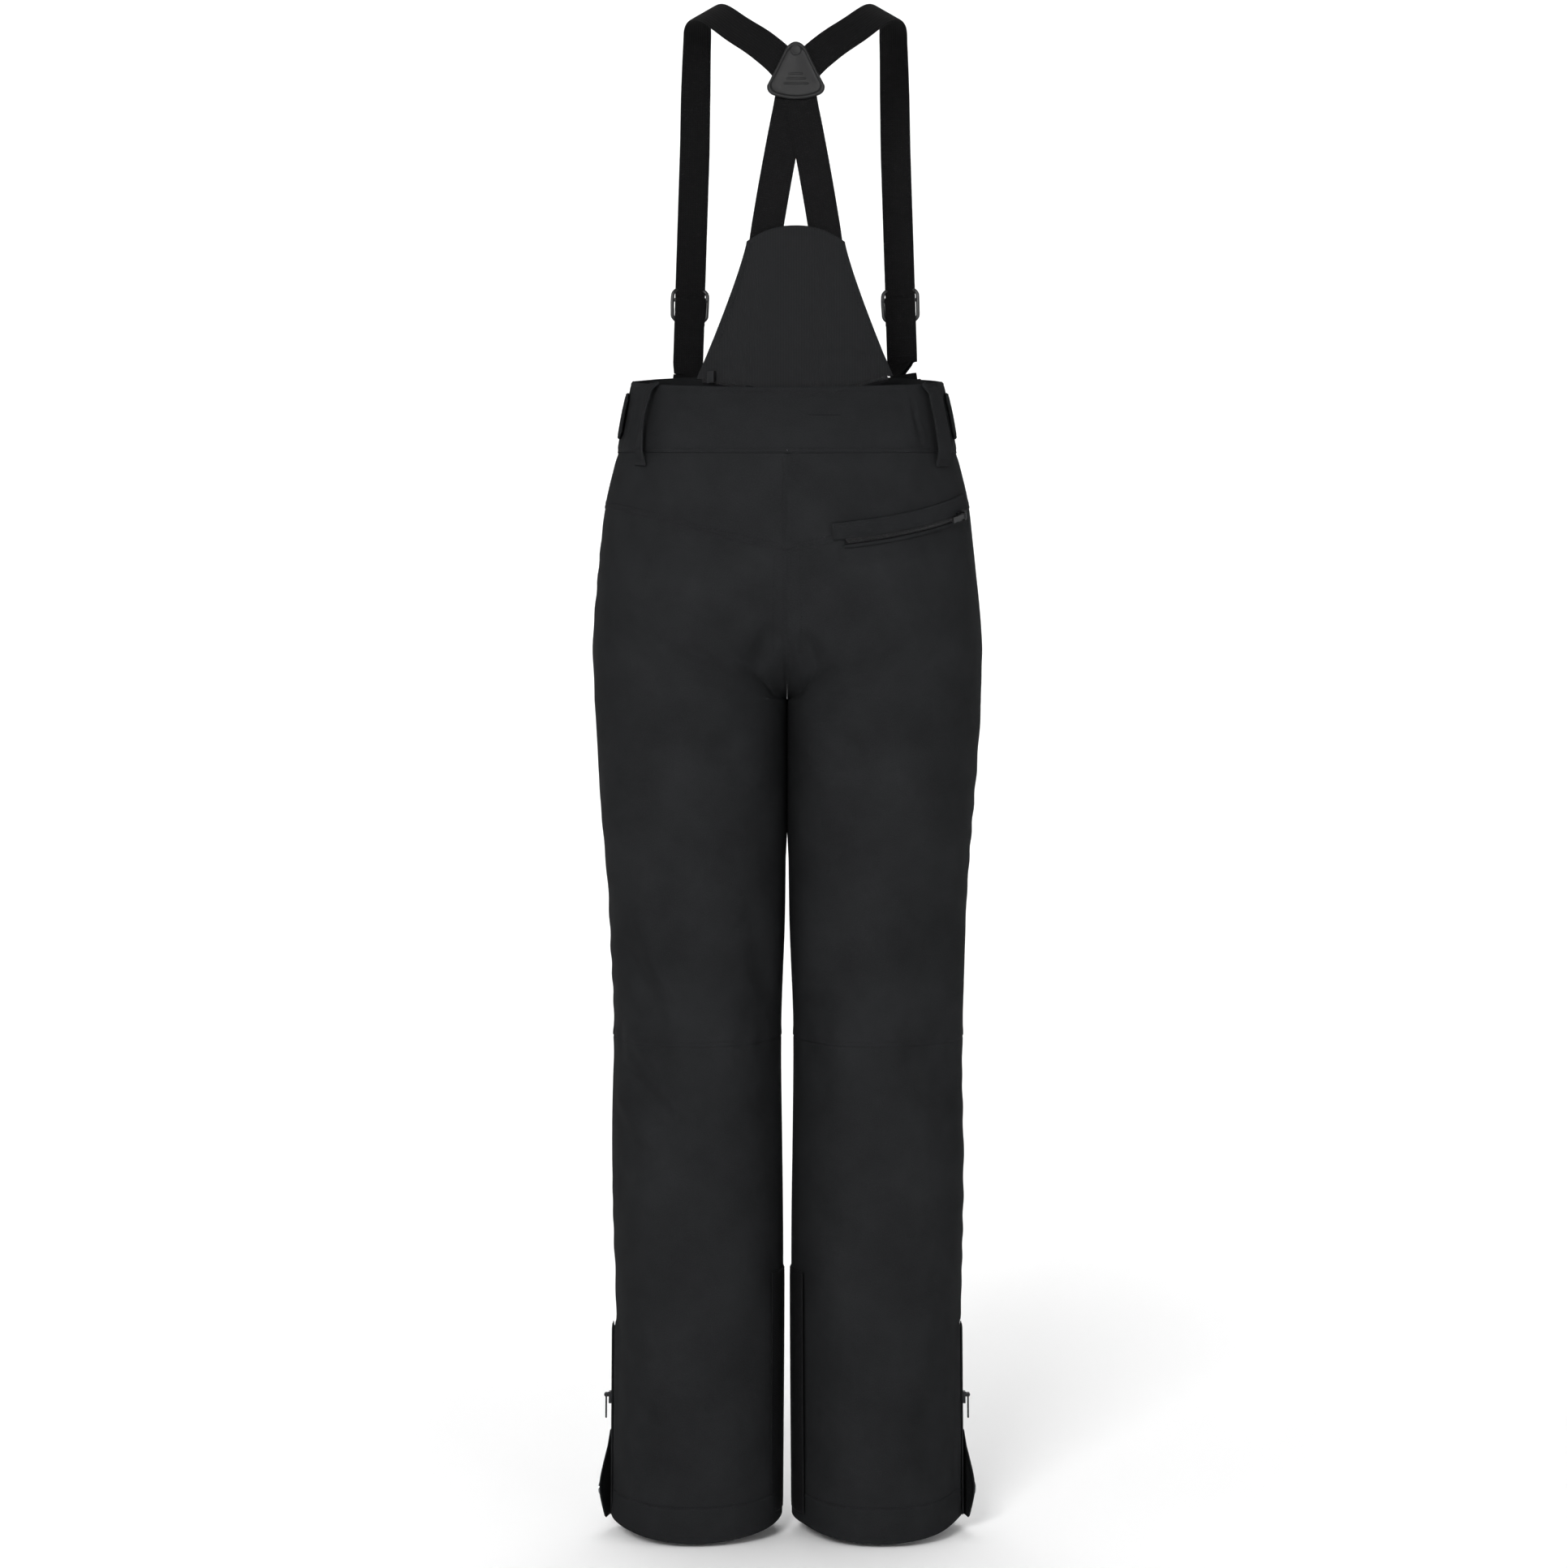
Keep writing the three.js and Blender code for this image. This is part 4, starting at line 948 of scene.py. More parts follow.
def pants():
    for name, side in SIDES:
        a = np.broadcast_to(COLUMNS, ROWS.shape)
        p, _ = cloth_at(side, a, ROWS)
        closed = ROWS[:, 0] <= CROTCH_Z + 1e-6
        p[closed, -1] = p[closed, 0]
        if side < 0:
            p, a = p[:, ::-1], a[:, ::-1]
        n = grid_normals(p)
        wrapped = grid_normals(p, wrap_s=True)
        n[closed] = wrapped[closed]
        for row in np.where(~closed)[0]:
            n[row, 0, 0] = n[row, -1, 0] = 0
        n = unit(n)
        # The two halves meet at the centre seams with a hair's breadth between them.
        upper_rows = ~closed
        p[upper_rows, 0, 0] = p[upper_rows, -1, 0] = side * 0.05 * MM
        thick = np.full(ROWS.shape, CLOTH)
        thick[ROWS < HEM_Z + HEM_TURN] = CLOTH + 1.0 * MM
        inner = p - n * thick[..., None]
        uv = np.stack([a * ROUND_LEG, ROWS], -1)
        for piece, rows, nodes in (
            ("pants_upper_" + name, slice(0, split + 1), ("seat_", "front_", "thigh_back_", "thigh_front_")),
            ("pants_lower_" + name, slice(split, None), ("shin_back_", "shin_front_")),
        ):
            ends = ("top",) if "upper" in piece else ("foot",)
            o = shell(
                piece, p[rows], n[rows], CLOTH, SOFTSHELL,
                uv[rows], closed[rows], inner[rows], ends,
            )
            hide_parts(*[k + name for k in nodes])
            if "upper" in piece:
                hip_bend(o)
                if side > 0:
                    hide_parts("back_yoke")
            else:
                knee_bend(o)


pants()


# ---- waistband, loops, tabs and pocket -----------------------------------------------------------
STITCHED = ("pants_body", "suspenders", "hip_left", "hip_right", "knee_left", "knee_right")
STITCHES = {key: Bits() for key in STITCHED}


def band_at(side, a, t, lift=0.0):
    """The waistband's outside: t from its top edge 0 to the seam 1."""
    a, t = np.broadcast_arrays(np.asarray(a, float), np.asarray(t, float))
    z = mix(band_top(a), band_foot(a), t)
    p, n = surface(a, z), outward(a, z)
    along_ = a * 2.6 * WAIST_HALF
    soft = 0.9 * MM * waves(along_ * side, t * 0.35, 31, shortest=0.06, longest=0.25, stretch=3.0)
    sag = soft * np.sin(np.pi * np.clip(t, 0, 1)) ** 0.6
    # A pressed fold near the right belt loop, and gathers under the tabs.
    pressed = (side > 0) * -1.9 * MM * bell(a - 0.262 - 0.01 * (t - 0.5), 0.008) * bell(t - 0.55, 0.26)
    swell = (side > 0) * 1.0 * MM * bell(a - 0.245, 0.012) * bell(t - 0.55, 0.3)
    gathers = 0.8 * MM * np.sin(a * 2 * np.pi * 34) * bell(a - 0.5, 0.13) * np.sin(np.pi * np.clip(t, 0, 1))
    dip = -0.7 * MM * bell(t - 0.975, 0.03) - 0.35 * MM * bell(t - 0.06, 0.02) * (t < 0.2)
    h = BAND_LIFT + sag + pressed + swell + gathers + dip + lift
    return flip(p + n * h[..., None], side), flip(n, side)


def waistband():
    for name, side in SIDES:
        for part_, a0, a1, nodes in (
            ("back", 0.0, 0.4995, ()),
            ("front", 0.5005, 0.9996, ("waistband_front_" + name,)),
        ):
            count = 84
            a, t = np.meshgrid(np.linspace(a0, a1, count), spaced(BAND_HIGH, 3 * MM))
            p, _ = band_at(side, a, t)
            uv = np.stack([a * 2.6 * WAIST_HALF, t * BAND_HIGH], -1)
            if side < 0:
                p, uv = p[:, ::-1], uv[:, ::-1]
            n = grid_normals(p)
            if part_ == "back":
                k = 0 if side > 0 else -1
                n[:, k, 0] = 0
                p[:, k, 0] = side * 0.05 * MM
                n = unit(n)
            # The top edge is a fold: the cloth rolls over it.
            t = t if side > 0 else t[:, ::-1]
            roll = (1 - ease(t / 0.035))[..., None] * 1.3 * MM
            p = p - n * roll
            inner = p - n * (3.0 * MM - 1.4 * roll)
            o = shell(f"waistband_{part_}_{name}_cloth", p, n, 3 * MM, BAND, uv, inner=inner)
            if part_ == "back" and side > 0:
                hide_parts("waistband_back")
            if nodes:
                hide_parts(*nodes)
            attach(o, "pants_body")
        for t in (0.075, 0.935):
            path, outs = band_at(side, np.linspace(0.004, 0.995, 120), np.full(120, t))
            sew(STITCHES["pants_body"], path, outs)


waistband()


def belt_loops():
    for name, side in SIDES:
        z = np.linspace(-10 * MM, -88 * MM, 60)
        a = np.full(60, 0.323 if side > 0 else 0.29)
        p, n = surface(a, z), outward(a, z)
        t = np.linspace(0, 1, 60)
        gap = 6.2 * MM * ease(t / 0.16) * ease((1 - t) / 0.2) + 2.2 * MM + 1.0 * MM * bell(t - 0.5, 0.2)
        path = flip(p + n * gap[:, None], side)
        outs = flip(n, side)
        if side < 0:
            outs = unit(outs + np.array([-0.5, 0.62, 0]) * bell(t - 0.45, 0.4)[:, None])
        half = 8 * MM if side < 0 else 10 * MM
        cloth = (BAND, "band_fabric")
        o = band("belt_loop_%s_cloth" % name, path, outs, 2 * half, 2.6 * MM, *cloth, square=0.28)
        # Two raised edges with a channel between them, as a loop folded in three has.
        co = np.array([v.co for v in o.data.vertices]).reshape(60, -1, 3)
        _, out, across = frames(path, outs)
        x = ((co - path[:, None]) * across[:, None]).sum(-1) / half
        y = ((co - path[:, None]) * out[:, None]).sum(-1)
        ridges = 0.5 * MM * bell(np.abs(x) - 0.62, 0.22) - 0.5 * MM * bell(x, 0.25)
        co += out[:, None] * (ridges * (y > 0))[..., None]
        o.data.vertices.foreach_set("co", co.ravel())
        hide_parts("belt_loop_" + name)
        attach(o, "pants_body")
        for aside in (-6.3, 6.3):
            sew(STITCHES["pants_body"], path + across * aside * MM + out * 1.35 * MM, out)
        for k in (3, 55):
            row = path[k] + across[k] * np.linspace(-6, 6, 8)[:, None] * MM + out[k] * 1.3 * MM
            outs = np.repeat(out[k][None], 8, 0)
            sew(STITCHES["pants_body"], row, outs, pitch=1.1, length=2.6, radius=0.32)


belt_loops()


def waist_tabs():
    for name, side in SIDES:

        def point(s, t):
            a = mix(0.415, 0.6, s)
            keep = rounded_end(s + 0.03, 0.11)
            t = 0.5 + (t - 0.5) * keep
            z = mix(-12 * MM, -56 * MM, t) + band_top(a) * 0.8
            n = outward(a, z)
            lift = (0.6 + 1.7 * (1 - ease(s / 0.45)) + 0.9 * np.sin(np.pi * np.clip(t, 0, 1)) * (1 - s)) * MM
            return surface(a, z) + n * lift[..., None], n

        o = patch(
            "waist_tab_%s_cloth" % name, side, point, 74 * MM, 44 * MM, 2.2 * MM, BAND,
            grooves=(3.0,), step=3,
        )
        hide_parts("waist_tab_" + name)
        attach(o, "waist_tab_" + name)


waist_tabs()


def centre_back():
    """The bar of stitches across the waistband, and those of the yoke and centre back seams."""
    bits = STITCHES["pants_body"]
    path, outs = band_at(1, np.linspace(0.028, 0.082, 24), np.full(24, 0.43))
    sew(bits, path, outs, pitch=1.5, length=2.2, radius=0.5)
    for _, side in SIDES:
        a = np.linspace(0.008, 0.49, 110)
        for up in (2.0, 5.2):
            z = yoke_seam(a) + up * MM
            if side > 0:
                keep = (a < 0.07) | (a > 0.43)
            else:
                keep = np.ones(len(a), bool)
            for run in np.split(np.arange(len(a)), np.where(np.diff(keep.astype(int)) != 0)[0] + 1):
                if keep[run[0]] and len(run) > 3:
                    path, outs = cloth_at(side, a[run], z[run])
                    sew(bits, path, outs)
        z = np.linspace(-176 * MM, CROTCH_Z + 42 * MM, 60)
        path, outs = cloth_at(side, np.full(60, 0.0125), z)
        sew(bits, path, outs)
        z = np.linspace(-83 * MM, -168 * MM, 40)
        path, outs = cloth_at(side, np.full(40, 0.0045), z)
        sew(bits, path, outs)


centre_back()


def leg_stitches():
    for name, side in SIDES:
        a = np.linspace(0.012, 0.988, 170)
        path, outs = cloth_at(side, a, knee_seam(a) + 4.4 * MM)
        sew(STITCHES["knee_" + name], path, outs)
        for start, end in ((0.012, 0.47), (0.53, 0.988)):
            a = np.linspace(start, end, 90)
            path, outs = cloth_at(side, a, HEM_Z + HEM_TURN + 0 * a)
            sew(STITCHES["knee_" + name], path, outs, radius=0.34)


leg_stitches()


def pocket():
    """The back pocket: a stitched welt over its zip, and a rounded lip under it."""
    low_edge, tall = 1.3 * MM, 16.5 * MM

    def point(s, t):
        turn = mix(-0.075, 1.0, s)
        turn = turn * POCKET.sweep
        out = POCKET.first * np.cos(turn)[..., None] + POCKET.second * np.sin(turn)[..., None]
        height = mix(tall + low_edge, low_edge, t)
        tuck = -0.6 * MM + 1.3 * MM * ease(t * 1.3) * np.sin(np.pi * np.clip(s, 0.04, 0.96)) ** 0.4
        p = POCKET.centre + out * (POCKET.radius + tuck)[..., None] + POCKET.axis * height[..., None]
        return p, out

    length = POCKET.radius * POCKET.sweep * 1.075
    s, t = np.meshgrid(spaced(length, 3 * MM), spaced(tall, 2.5 * MM))
    base, n = point(s, t)
    d = np.minimum(np.minimum(s, 1 - s) * length, np.minimum(t, 1 - t) * tall) / MM
    p = base + n * (2.2 * MM * (1 - 0.5 * (1 - ease(d / 1.5))) - 0.4 * MM * bell(d - 2.6, 0.6))[..., None]
    normal = grid_normals(p)
    normal *= np.sign((normal * n).sum(-1, keepdims=True))
    uv = np.stack([s * length, t * tall], -1)
    o = shell("back_pocket_welt_cloth", p, normal, 2 * MM, BAND, uv, inner=base - n * 0.8 * MM)
    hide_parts("back_pocket_welt")
    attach(o, "pants_body")
    inset = 2.4 * MM
    for lift, height in ((1.55 * MM, low_edge + inset), (0.95 * MM, low_edge + tall - inset)):
        path, out = POCKET.line(lift=lift, height=height, start=-0.045, end=0.97)
        sew(STITCHES["pants_body"], path, out)
    path, out = POCKET.line(lift=0.1 * MM, height=-5.6 * MM, start=-0.015, end=1.01)
    lip = band(
        "back_pocket_lip", path, out, 3.6 * MM, 2.2 * MM, SOFTSHELL, "softshell", square=0.6, taper=6 * MM
    )
    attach(lip, "pants_body")


pocket()


# ---- zips ----------------------------------------------------------------------------------------
def zip_chain(name, path_at, body, lips=True):
    """A coil zip: its tape, two rows of teeth and the cloth's lips beside it.

    path_at(lift, aside, start, end) gives a line along the zip."""
    path, outs = path_at(0.0, 0.0, 0.0, 0.0)
    tape = band(name + "_tape", path, outs, 14.6 * MM, 0.8 * MM, TAPE, "zip_tape", square=0.2)
    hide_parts(name + "_chain")
    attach(tape, body)
    bits = Bits()
    for k, aside in ((0, -1.15), (1, 1.15)):
        line, outs = path_at(1.35 * MM, aside * MM, 1.5 * MM + k * 0.7 * MM, 1.5 * MM)
        both = resample(np.concatenate([line, outs], 1), 1.4 * MM)
        at, out = both[:, :3], unit(both[:, 3:])
        ahead, out, across = frames(at, out)
        slant = unit(across * (1 if k else -1) + ahead * 0.22)
        bits.add(*grains(at, slant, out, 3.5 * MM, 0.62 * MM, around=8))
        cord, outs = path_at(0.85 * MM, aside * 2.05 * MM, 1 * MM, 1 * MM)
        both = resample(np.concatenate([cord, outs], 1), 1.1 * MM)
        bits.add(*grains(both[:, :3], np.gradient(both[:, :3], axis=0), both[:, 3:], 1.5 * MM, 0.35 * MM))
    teeth = bits.build(name + "_teeth", TEETH, "zip_tape")
    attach(teeth, body)
    if lips:
        for word, aside in (("near", -6.4), ("far", 6.4)):
            line, outs = path_at(0.9 * MM, aside * MM, -4 * MM, -4 * MM)
            lip = band(
                f"{name}_lip_{word}", line, outs, 4.4 * MM, 2.0 * MM, SOFTSHELL, "softshell",
                square=0.6, taper=5 * MM,
            )
            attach(lip, body)


def straight(track):
    def path_at(lift, aside, start, end):
        return track.line(lift=lift, aside=aside, start=start, end=end)

    return path_at


def curved(lift, aside, start, end):
    length = POCKET.radius * POCKET.sweep
    return POCKET.line(lift=lift, height=-aside, start=start / length, end=1 - end / length, count=140)


zip_chain("fly_zip", straight(FLY), "pants_body")
for name, side in SIDES:
    zip_chain("hand_pocket_%s_zip" % name, straight(HANDS[name]), "pants_body")
    zip_chain("ankle_%s_zip" % name, straight(ANKLES[name]), "shin_" + name)
zip_chain("back_pocket_zip", curved, "pants_body", lips=False)


# ---- ankles --------------------------------------------------------------------------------------
def flap_base(s, t, side_lift=0.0):
    z = mix(HEM_Z + 92 * MM, HEM_Z + 10 * MM, t)
    a = mix(0.462, 0.545, s)
    open_ = np.sin(np.pi * np.minimum(1, 0.14 + t * 0.66)) ** 1.3
    lift = (0.5 + 3 * (1 - s) + 10 * open_ * (1 - s) ** 1.4) * MM + side_lift
    n = outward(a, z)
    return surface(a, z) + n * lift[..., None], n


def ankles():
    for name, side in SIDES:
        wide, high_ = 48 * MM, 82 * MM

        def point(s, t):
            reach = np.interp(t, [0, 0.2, 0.45, 0.62, 0.72, 1.0], [0.34, 0.45, 0.8, 1.0, 0.96, 0.72])
            return flap_base(1 - (1 - s) * reach, t)

        o = patch(
            "ankle_flap_%s_cloth" % name, side, point, wide, high_, 2.0 * MM, SOFTSHELL,
            grooves=(3.0,), step=3, wavy=0.25,
        )
        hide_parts("ankle_flap_" + name)
        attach(o, "ankle_flap_" + name)
        box_low, box_high = low("ankle_snap_" + name), high("ankle_snap_" + name)
        at = (box_low + box_high) / 2
        e = 0.02
        ds = flap_base(np.array(0.3 + e), np.array(0.66))[0] - flap_base(np.array(0.3 - e), np.array(0.66))[0]
        dt = flap_base(np.array(0.3), np.array(0.66 + e))[0] - flap_base(np.array(0.3), np.array(0.66 - e))[0]
        out = unit(flip(np.cross(dt, ds), side))
        if out[0] * side < 0:
            out = -out
        profile = [(0.1, -0.7), (5.0, -0.7), (6.0, -0.4), (6.1, 0.1), (5.6, 0.6), (5.0, 0.72), (4.5, 0.55)]
        profile += [(3.9, 0.5), (3.3, 0.8), (2.2, 1.0), (1.0, 1.1), (0.1, 1.12)]
        snap = lathe("ankle_snap_%s_cap" % name, profile, at, out, METAL)
        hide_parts("ankle_snap_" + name)
        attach(snap, "ankle_flap_" + name)
        # The snap's other half, on the cuff in front of the zip.
        place, n = cloth_at(side, 0.535, HEM_Z + 28 * MM)
        stud = [(0.1, 0.0), (5.2, 0.0), (5.4, 0.5), (4.8, 0.9)]
        stud += [(2.6, 1.0), (2.4, 2.3), (1.9, 2.6), (0.1, 2.7)]
        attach(lathe("ankle_stud_" + name, stud, place, n, METAL), "shin_" + name)


ankles()


def guards_and_gaiters():
    for name, side in SIDES:
        top, foot = HEM_Z + 250 * MM, HEM_Z + 20 * MM

        def point(s, t):
            a = mix(-0.085, 0.085, s)
            z = mix(top, foot, t)
            leg = leg_section(a, z)
            n = outward(a, z)
            return leg + n * 0.7 * MM, n

        o = patch(
            "scuff_guard_%s_cloth" % name, side, point, 96 * MM, 230 * MM, 1.1 * MM, GUARD,
            grooves=(2.4, 5.0), step=5,
        )
        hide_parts("scuff_guard_" + name)
        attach(o, "shin_" + name)

        s, t = np.meshgrid(np.linspace(0, 1, 161), np.linspace(0, 1, 44))
        z = mix(HEM_Z + 170 * MM, HEM_Z + 14 * MM, t)
        inset = (CLOTH + 2.9 * MM) + 9 * MM * ease(t * 2.5)
        ruffle = 1.1 * MM * np.sin(s * 2 * np.pi * 38) * ease((t - 0.75) / 0.2) * bell(t - 0.93, 0.1)
        uneven = waves(s * 0.5, t * 0.16, 61, shortest=0.04, longest=0.12)
        ruffle = ruffle + 0.8 * MM * uneven * np.sin(np.pi * s) ** 0.5
        n = outward(s, z)
        p = flip(leg_section(s, z) - n * (inset - ruffle)[..., None], side)
        p[:, -1] = p[:, 0]
        uv = np.stack([s * 0.5, z], -1)
        if side < 0:
            p, uv = p[:, ::-1], uv[:, ::-1]
        normal = grid_normals(p, wrap_s=True)
        every_row = np.ones(len(p), bool)
        o = shell("snow_gaiter_%s_cloth" % name, p, normal, 0.8 * MM, LINER, uv, every_row)
        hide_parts("snow_gaiter_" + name)
        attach(o, "shin_" + name)
        # The gaiter's elastic hem has a rubber gripper line inside it.
        ring = p[-3] + normal[-3] * 0.4 * MM
        grip = band(
            "gaiter_gripper_" + name, ring[::2], normal[-3][::2], 5 * MM, 1.0 * MM, GUARD, "guard", square=0.5
        )
        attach(grip, "shin_" + name)


guards_and_gaiters()


# ---- front closure -------------------------------------------------------------------------------
def closure():
    rows = spaced(46 * MM, 3 * MM)
    cols = np.linspace(-1, 1, 41)
    s, t = np.meshgrid(cols, rows)
    box_low, box_high = low("closure_tab"), high("closure_tab")
    x = mix(box_low[0], box_high[0], (s + 1) / 2)
    keep = np.sqrt(np.clip(1 - np.clip((np.abs(s) - 0.72) / 0.28, 0, 1) ** 2 * 0.8, 0.05, 1))
    zc = (box_low[2] + box_high[2]) / 2
    z = zc + (mix(box_high[2], box_low[2], t) - zc) * keep
    y = box_low[1] + 0.2 * MM + 0 * x
    face = box_high[1] - 0.2 * MM + 0 * x - 0.9 * MM * np.abs(s) ** 2
    wide, _, high_ = box_high - box_low
    d = np.minimum((1 - np.abs(s)) * wide / 2, np.minimum(t, 1 - t) * high_) / MM
    face = face - 0.9 * MM * (1 - ease(d / 1.6)) - 0.35 * MM * bell(d - 3, 0.6)
    outer = np.stack([x, face, z], -1)
    inner = np.stack([x, np.minimum(y, face - 0.6 * MM), z], -1)
    outer, inner = outer[:, ::-1], inner[:, ::-1]
    uv = np.stack([x[:, ::-1], z[:, ::-1]], -1)
    o = shell("closure_tab_cloth", outer, grid_normals(outer), 2 * MM, BAND, uv, inner=inner)
    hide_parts("closure_tab")
    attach(o, "pants_body")
    b0, b1 = low("closure_snap"), high("closure_snap")
    at = (b0 + b1) / 2
    r = (b1[0] - b0[0]) / 2 / MM
    tall = (b1[1] - b0[1]) / MM
    profile = [(0.1, -tall / 2), (r * 0.96, -tall / 2), (r, -tall * 0.2), (r * 0.97, tall * 0.25)]
    profile += [(r * 0.86, tall * 0.42), (r * 0.74, tall * 0.3), (r * 0.66, tall * 0.3), (r * 0.5, tall * 0.45)]
    profile += [(r * 0.2, tall * 0.5), (0.1, tall * 0.5)]
    snap = lathe("closure_snap_cap", profile, at, np.array([0, 1.0, 0]), METAL)
    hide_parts("closure_snap")
    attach(snap, "pants_body")


closure()


# ---- bib -----------------------------------------------------------------------------------------
BIB_TOP = 133 * MM
BIB_FOOT = -34 * MM
BIB_INSET = 4.0 * MM
BIB_LEAN = 0.085


def inset_place(x, z, inset):
    """The place behind x, z that lies an inset inside the waist's surface."""
    lo, hi = np.full(np.shape(x), 1e-3), np.full(np.shape(x), 0.5)
    for _ in range(26):
        m = (lo + hi) / 2
        inside = surface(m, z) - outward(m, z) * np.asarray(inset)[..., None]
        less = inside[..., 0] < x
        lo, hi = np.where(less, m, lo), np.where(less, hi, m)
    return surface(lo, z) - outward(lo, z) * np.asarray(inset)[..., None]


def bib_face(x, z):
    level = np.minimum(z, 20 * MM)
    p = inset_place(np.abs(x), level, np.full(np.shape(x), BIB_INSET))
    return np.stack([x, p[..., 1] - BIB_LEAN * np.maximum(0, z - 20 * MM), z], -1)


def bib_foot(u):
    """The foot is zipped into the band in the middle; its corners ride up out of it."""
    corner = ease((np.abs(u) - 0.42) / 0.58) * np.where(np.asarray(u) > 0, 12 * MM, 8 * MM)
    return mix(BIB_FOOT, -16 * MM, ease((np.abs(u) - 0.15) / 0.3)) + corner


def bib_half(z):
    return mix(46 * MM, 93 * MM, np.clip((118 * MM - z) / (125 * MM), 0, 1) ** 1.18)


def bib_shape(u, t):
    top = BIB_TOP * (1 - 0.11 * np.abs(u) ** 2.2)
    z = mix(top, bib_foot(u), t)
    wide = bib_half(z)
    x = u * wide + BRACE_SHIFT
    p = bib_face(x, z)
    # Stretch cloth: it hollows a little between the straps and the band, and wrinkles near the foot.
    soft = 1.0 * MM * np.sin(np.pi * (u + 1) / 2) * np.sin(np.pi * np.clip((z + 10 * MM) / 0.12, 0, 1))
    outer_part = (np.abs(u) > 0.2) * ease((np.abs(u) - 0.2) * 2)
    wrinkle = 0.7 * MM * np.sin(z * 2 * np.pi / 0.021 + 2 * u) * bell(z - 12 * MM, 0.02) * outer_part
    p[..., 1] += soft + wrinkle
    return p


def bib():
    tall = BIB_TOP - BIB_FOOT
    t, u = np.meshgrid(spaced(tall, 3 * MM), spaced(150 * MM, 2.5 * MM) * 2 - 1, indexing="ij")
    p = bib_shape(u, t)
    n = grid_normals(p)
    d = np.minimum((1 - np.abs(u)) * 68 * MM, t * tall) / MM
    # A bound edge 7 mm wide, with its line of stitches.
    binding = 0.55 * MM * (1 - ease((d - 6.4) / 0.8)) - 0.35 * MM * bell(d - 7.2, 0.6)
    binding = binding - 0.8 * MM * (1 - ease(d / 1.4))
    p = p + n * binding[..., None]
    n = grid_normals(p)
    uv = p[..., [0, 2]]
    inner = bib_shape(u, t) - n * 1.6 * MM
    o = shell("back_bib_cloth", p, n, 1.8 * MM, RIB, uv, inner=inner)
    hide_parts("back_bib")
    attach(o, "suspenders")
    w = np.clip(1 - 6.0 / 68, 0, 1)
    edge_u = np.concatenate([np.full(80, -w), np.linspace(-w, w, 100), np.full(80, w)])
    edge_t = np.concatenate([np.linspace(0.75, 0.045, 80), np.full(100, 0.036), np.linspace(0.045, 0.75, 80)])
    path = bib_shape(edge_u, edge_t)
    outs = np.repeat([[0.0, -1.0, -0.08]], len(path), 0)
    sew(STITCHES["suspenders"], path + outs * 0.3 * MM, outs, radius=0.26)
    # The zip that holds the bib in the waistband ends under both lower corners.
    for name, side in SIDES:
        u = side * np.linspace(0.5, 0.93, 30)
        z = bib_foot(u) - 1.2 * MM
        path = bib_face(BRACE_SHIFT + u * bib_half(z), z)
        outs = np.repeat([[0.0, -1.0, 0.0]], 30, 0)
        path = path - outs * 0.9 * MM
        if side > 0:
            path, outs = path[::-1], outs[::-1]
        bits = Bits()
        both = resample(np.concatenate([path, outs], 1), 1.5 * MM)
        ahead, out, across = frames(both[:, :3], unit(both[:, 3:]))
        slant = unit(across + ahead * 0.2)
        for shift in (across * 0.9 * MM, ahead * 0.75 * MM - across * 0.9 * MM):
            bits.add(*grains(both[:, :3] + shift, slant, out, 3.0 * MM, 0.6 * MM, around=8))
        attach(bits.build("bib_zip_teeth_" + name, TEETH, "zip_tape"), "suspenders")
        under = path - outs * 0.7 * MM
        tape = band("bib_zip_tape_" + name, under, outs, 9 * MM, 0.8 * MM, TAPE, "zip_tape", square=0.3)
        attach(tape, "suspenders")


bib()


# ---- suspenders ----------------------------------------------------------------------------------
WEB_WIDE = 30 * MM
WEB_THICK = 1.6 * MM
STRAP_SLOPE = 0.032
STRAP_Y = 93 * MM
CREST_Z = 357 * MM


def brace(p, side):
    p = np.array(p, float)
    p[..., 0] = p[..., 0] * side + BRACE_SHIFT
    return p


def strap_x(z):
    return 106 * MM - STRAP_SLOPE * (z - 20 * MM)


def strap_foot(side):
    x = side * strap_x(10 * MM) + BRACE_SHIFT
    a = place_at(abs(x), 0.0, front=True)
    up = unit(flip(surface(a, 10 * MM), side) - flip(surface(a, -50 * MM), side))
    out = flip(outward(a, -15 * MM), side)
    out = unit(out - up * out.dot(up))
    return flip(surface(a, 2 * MM), side), up, out


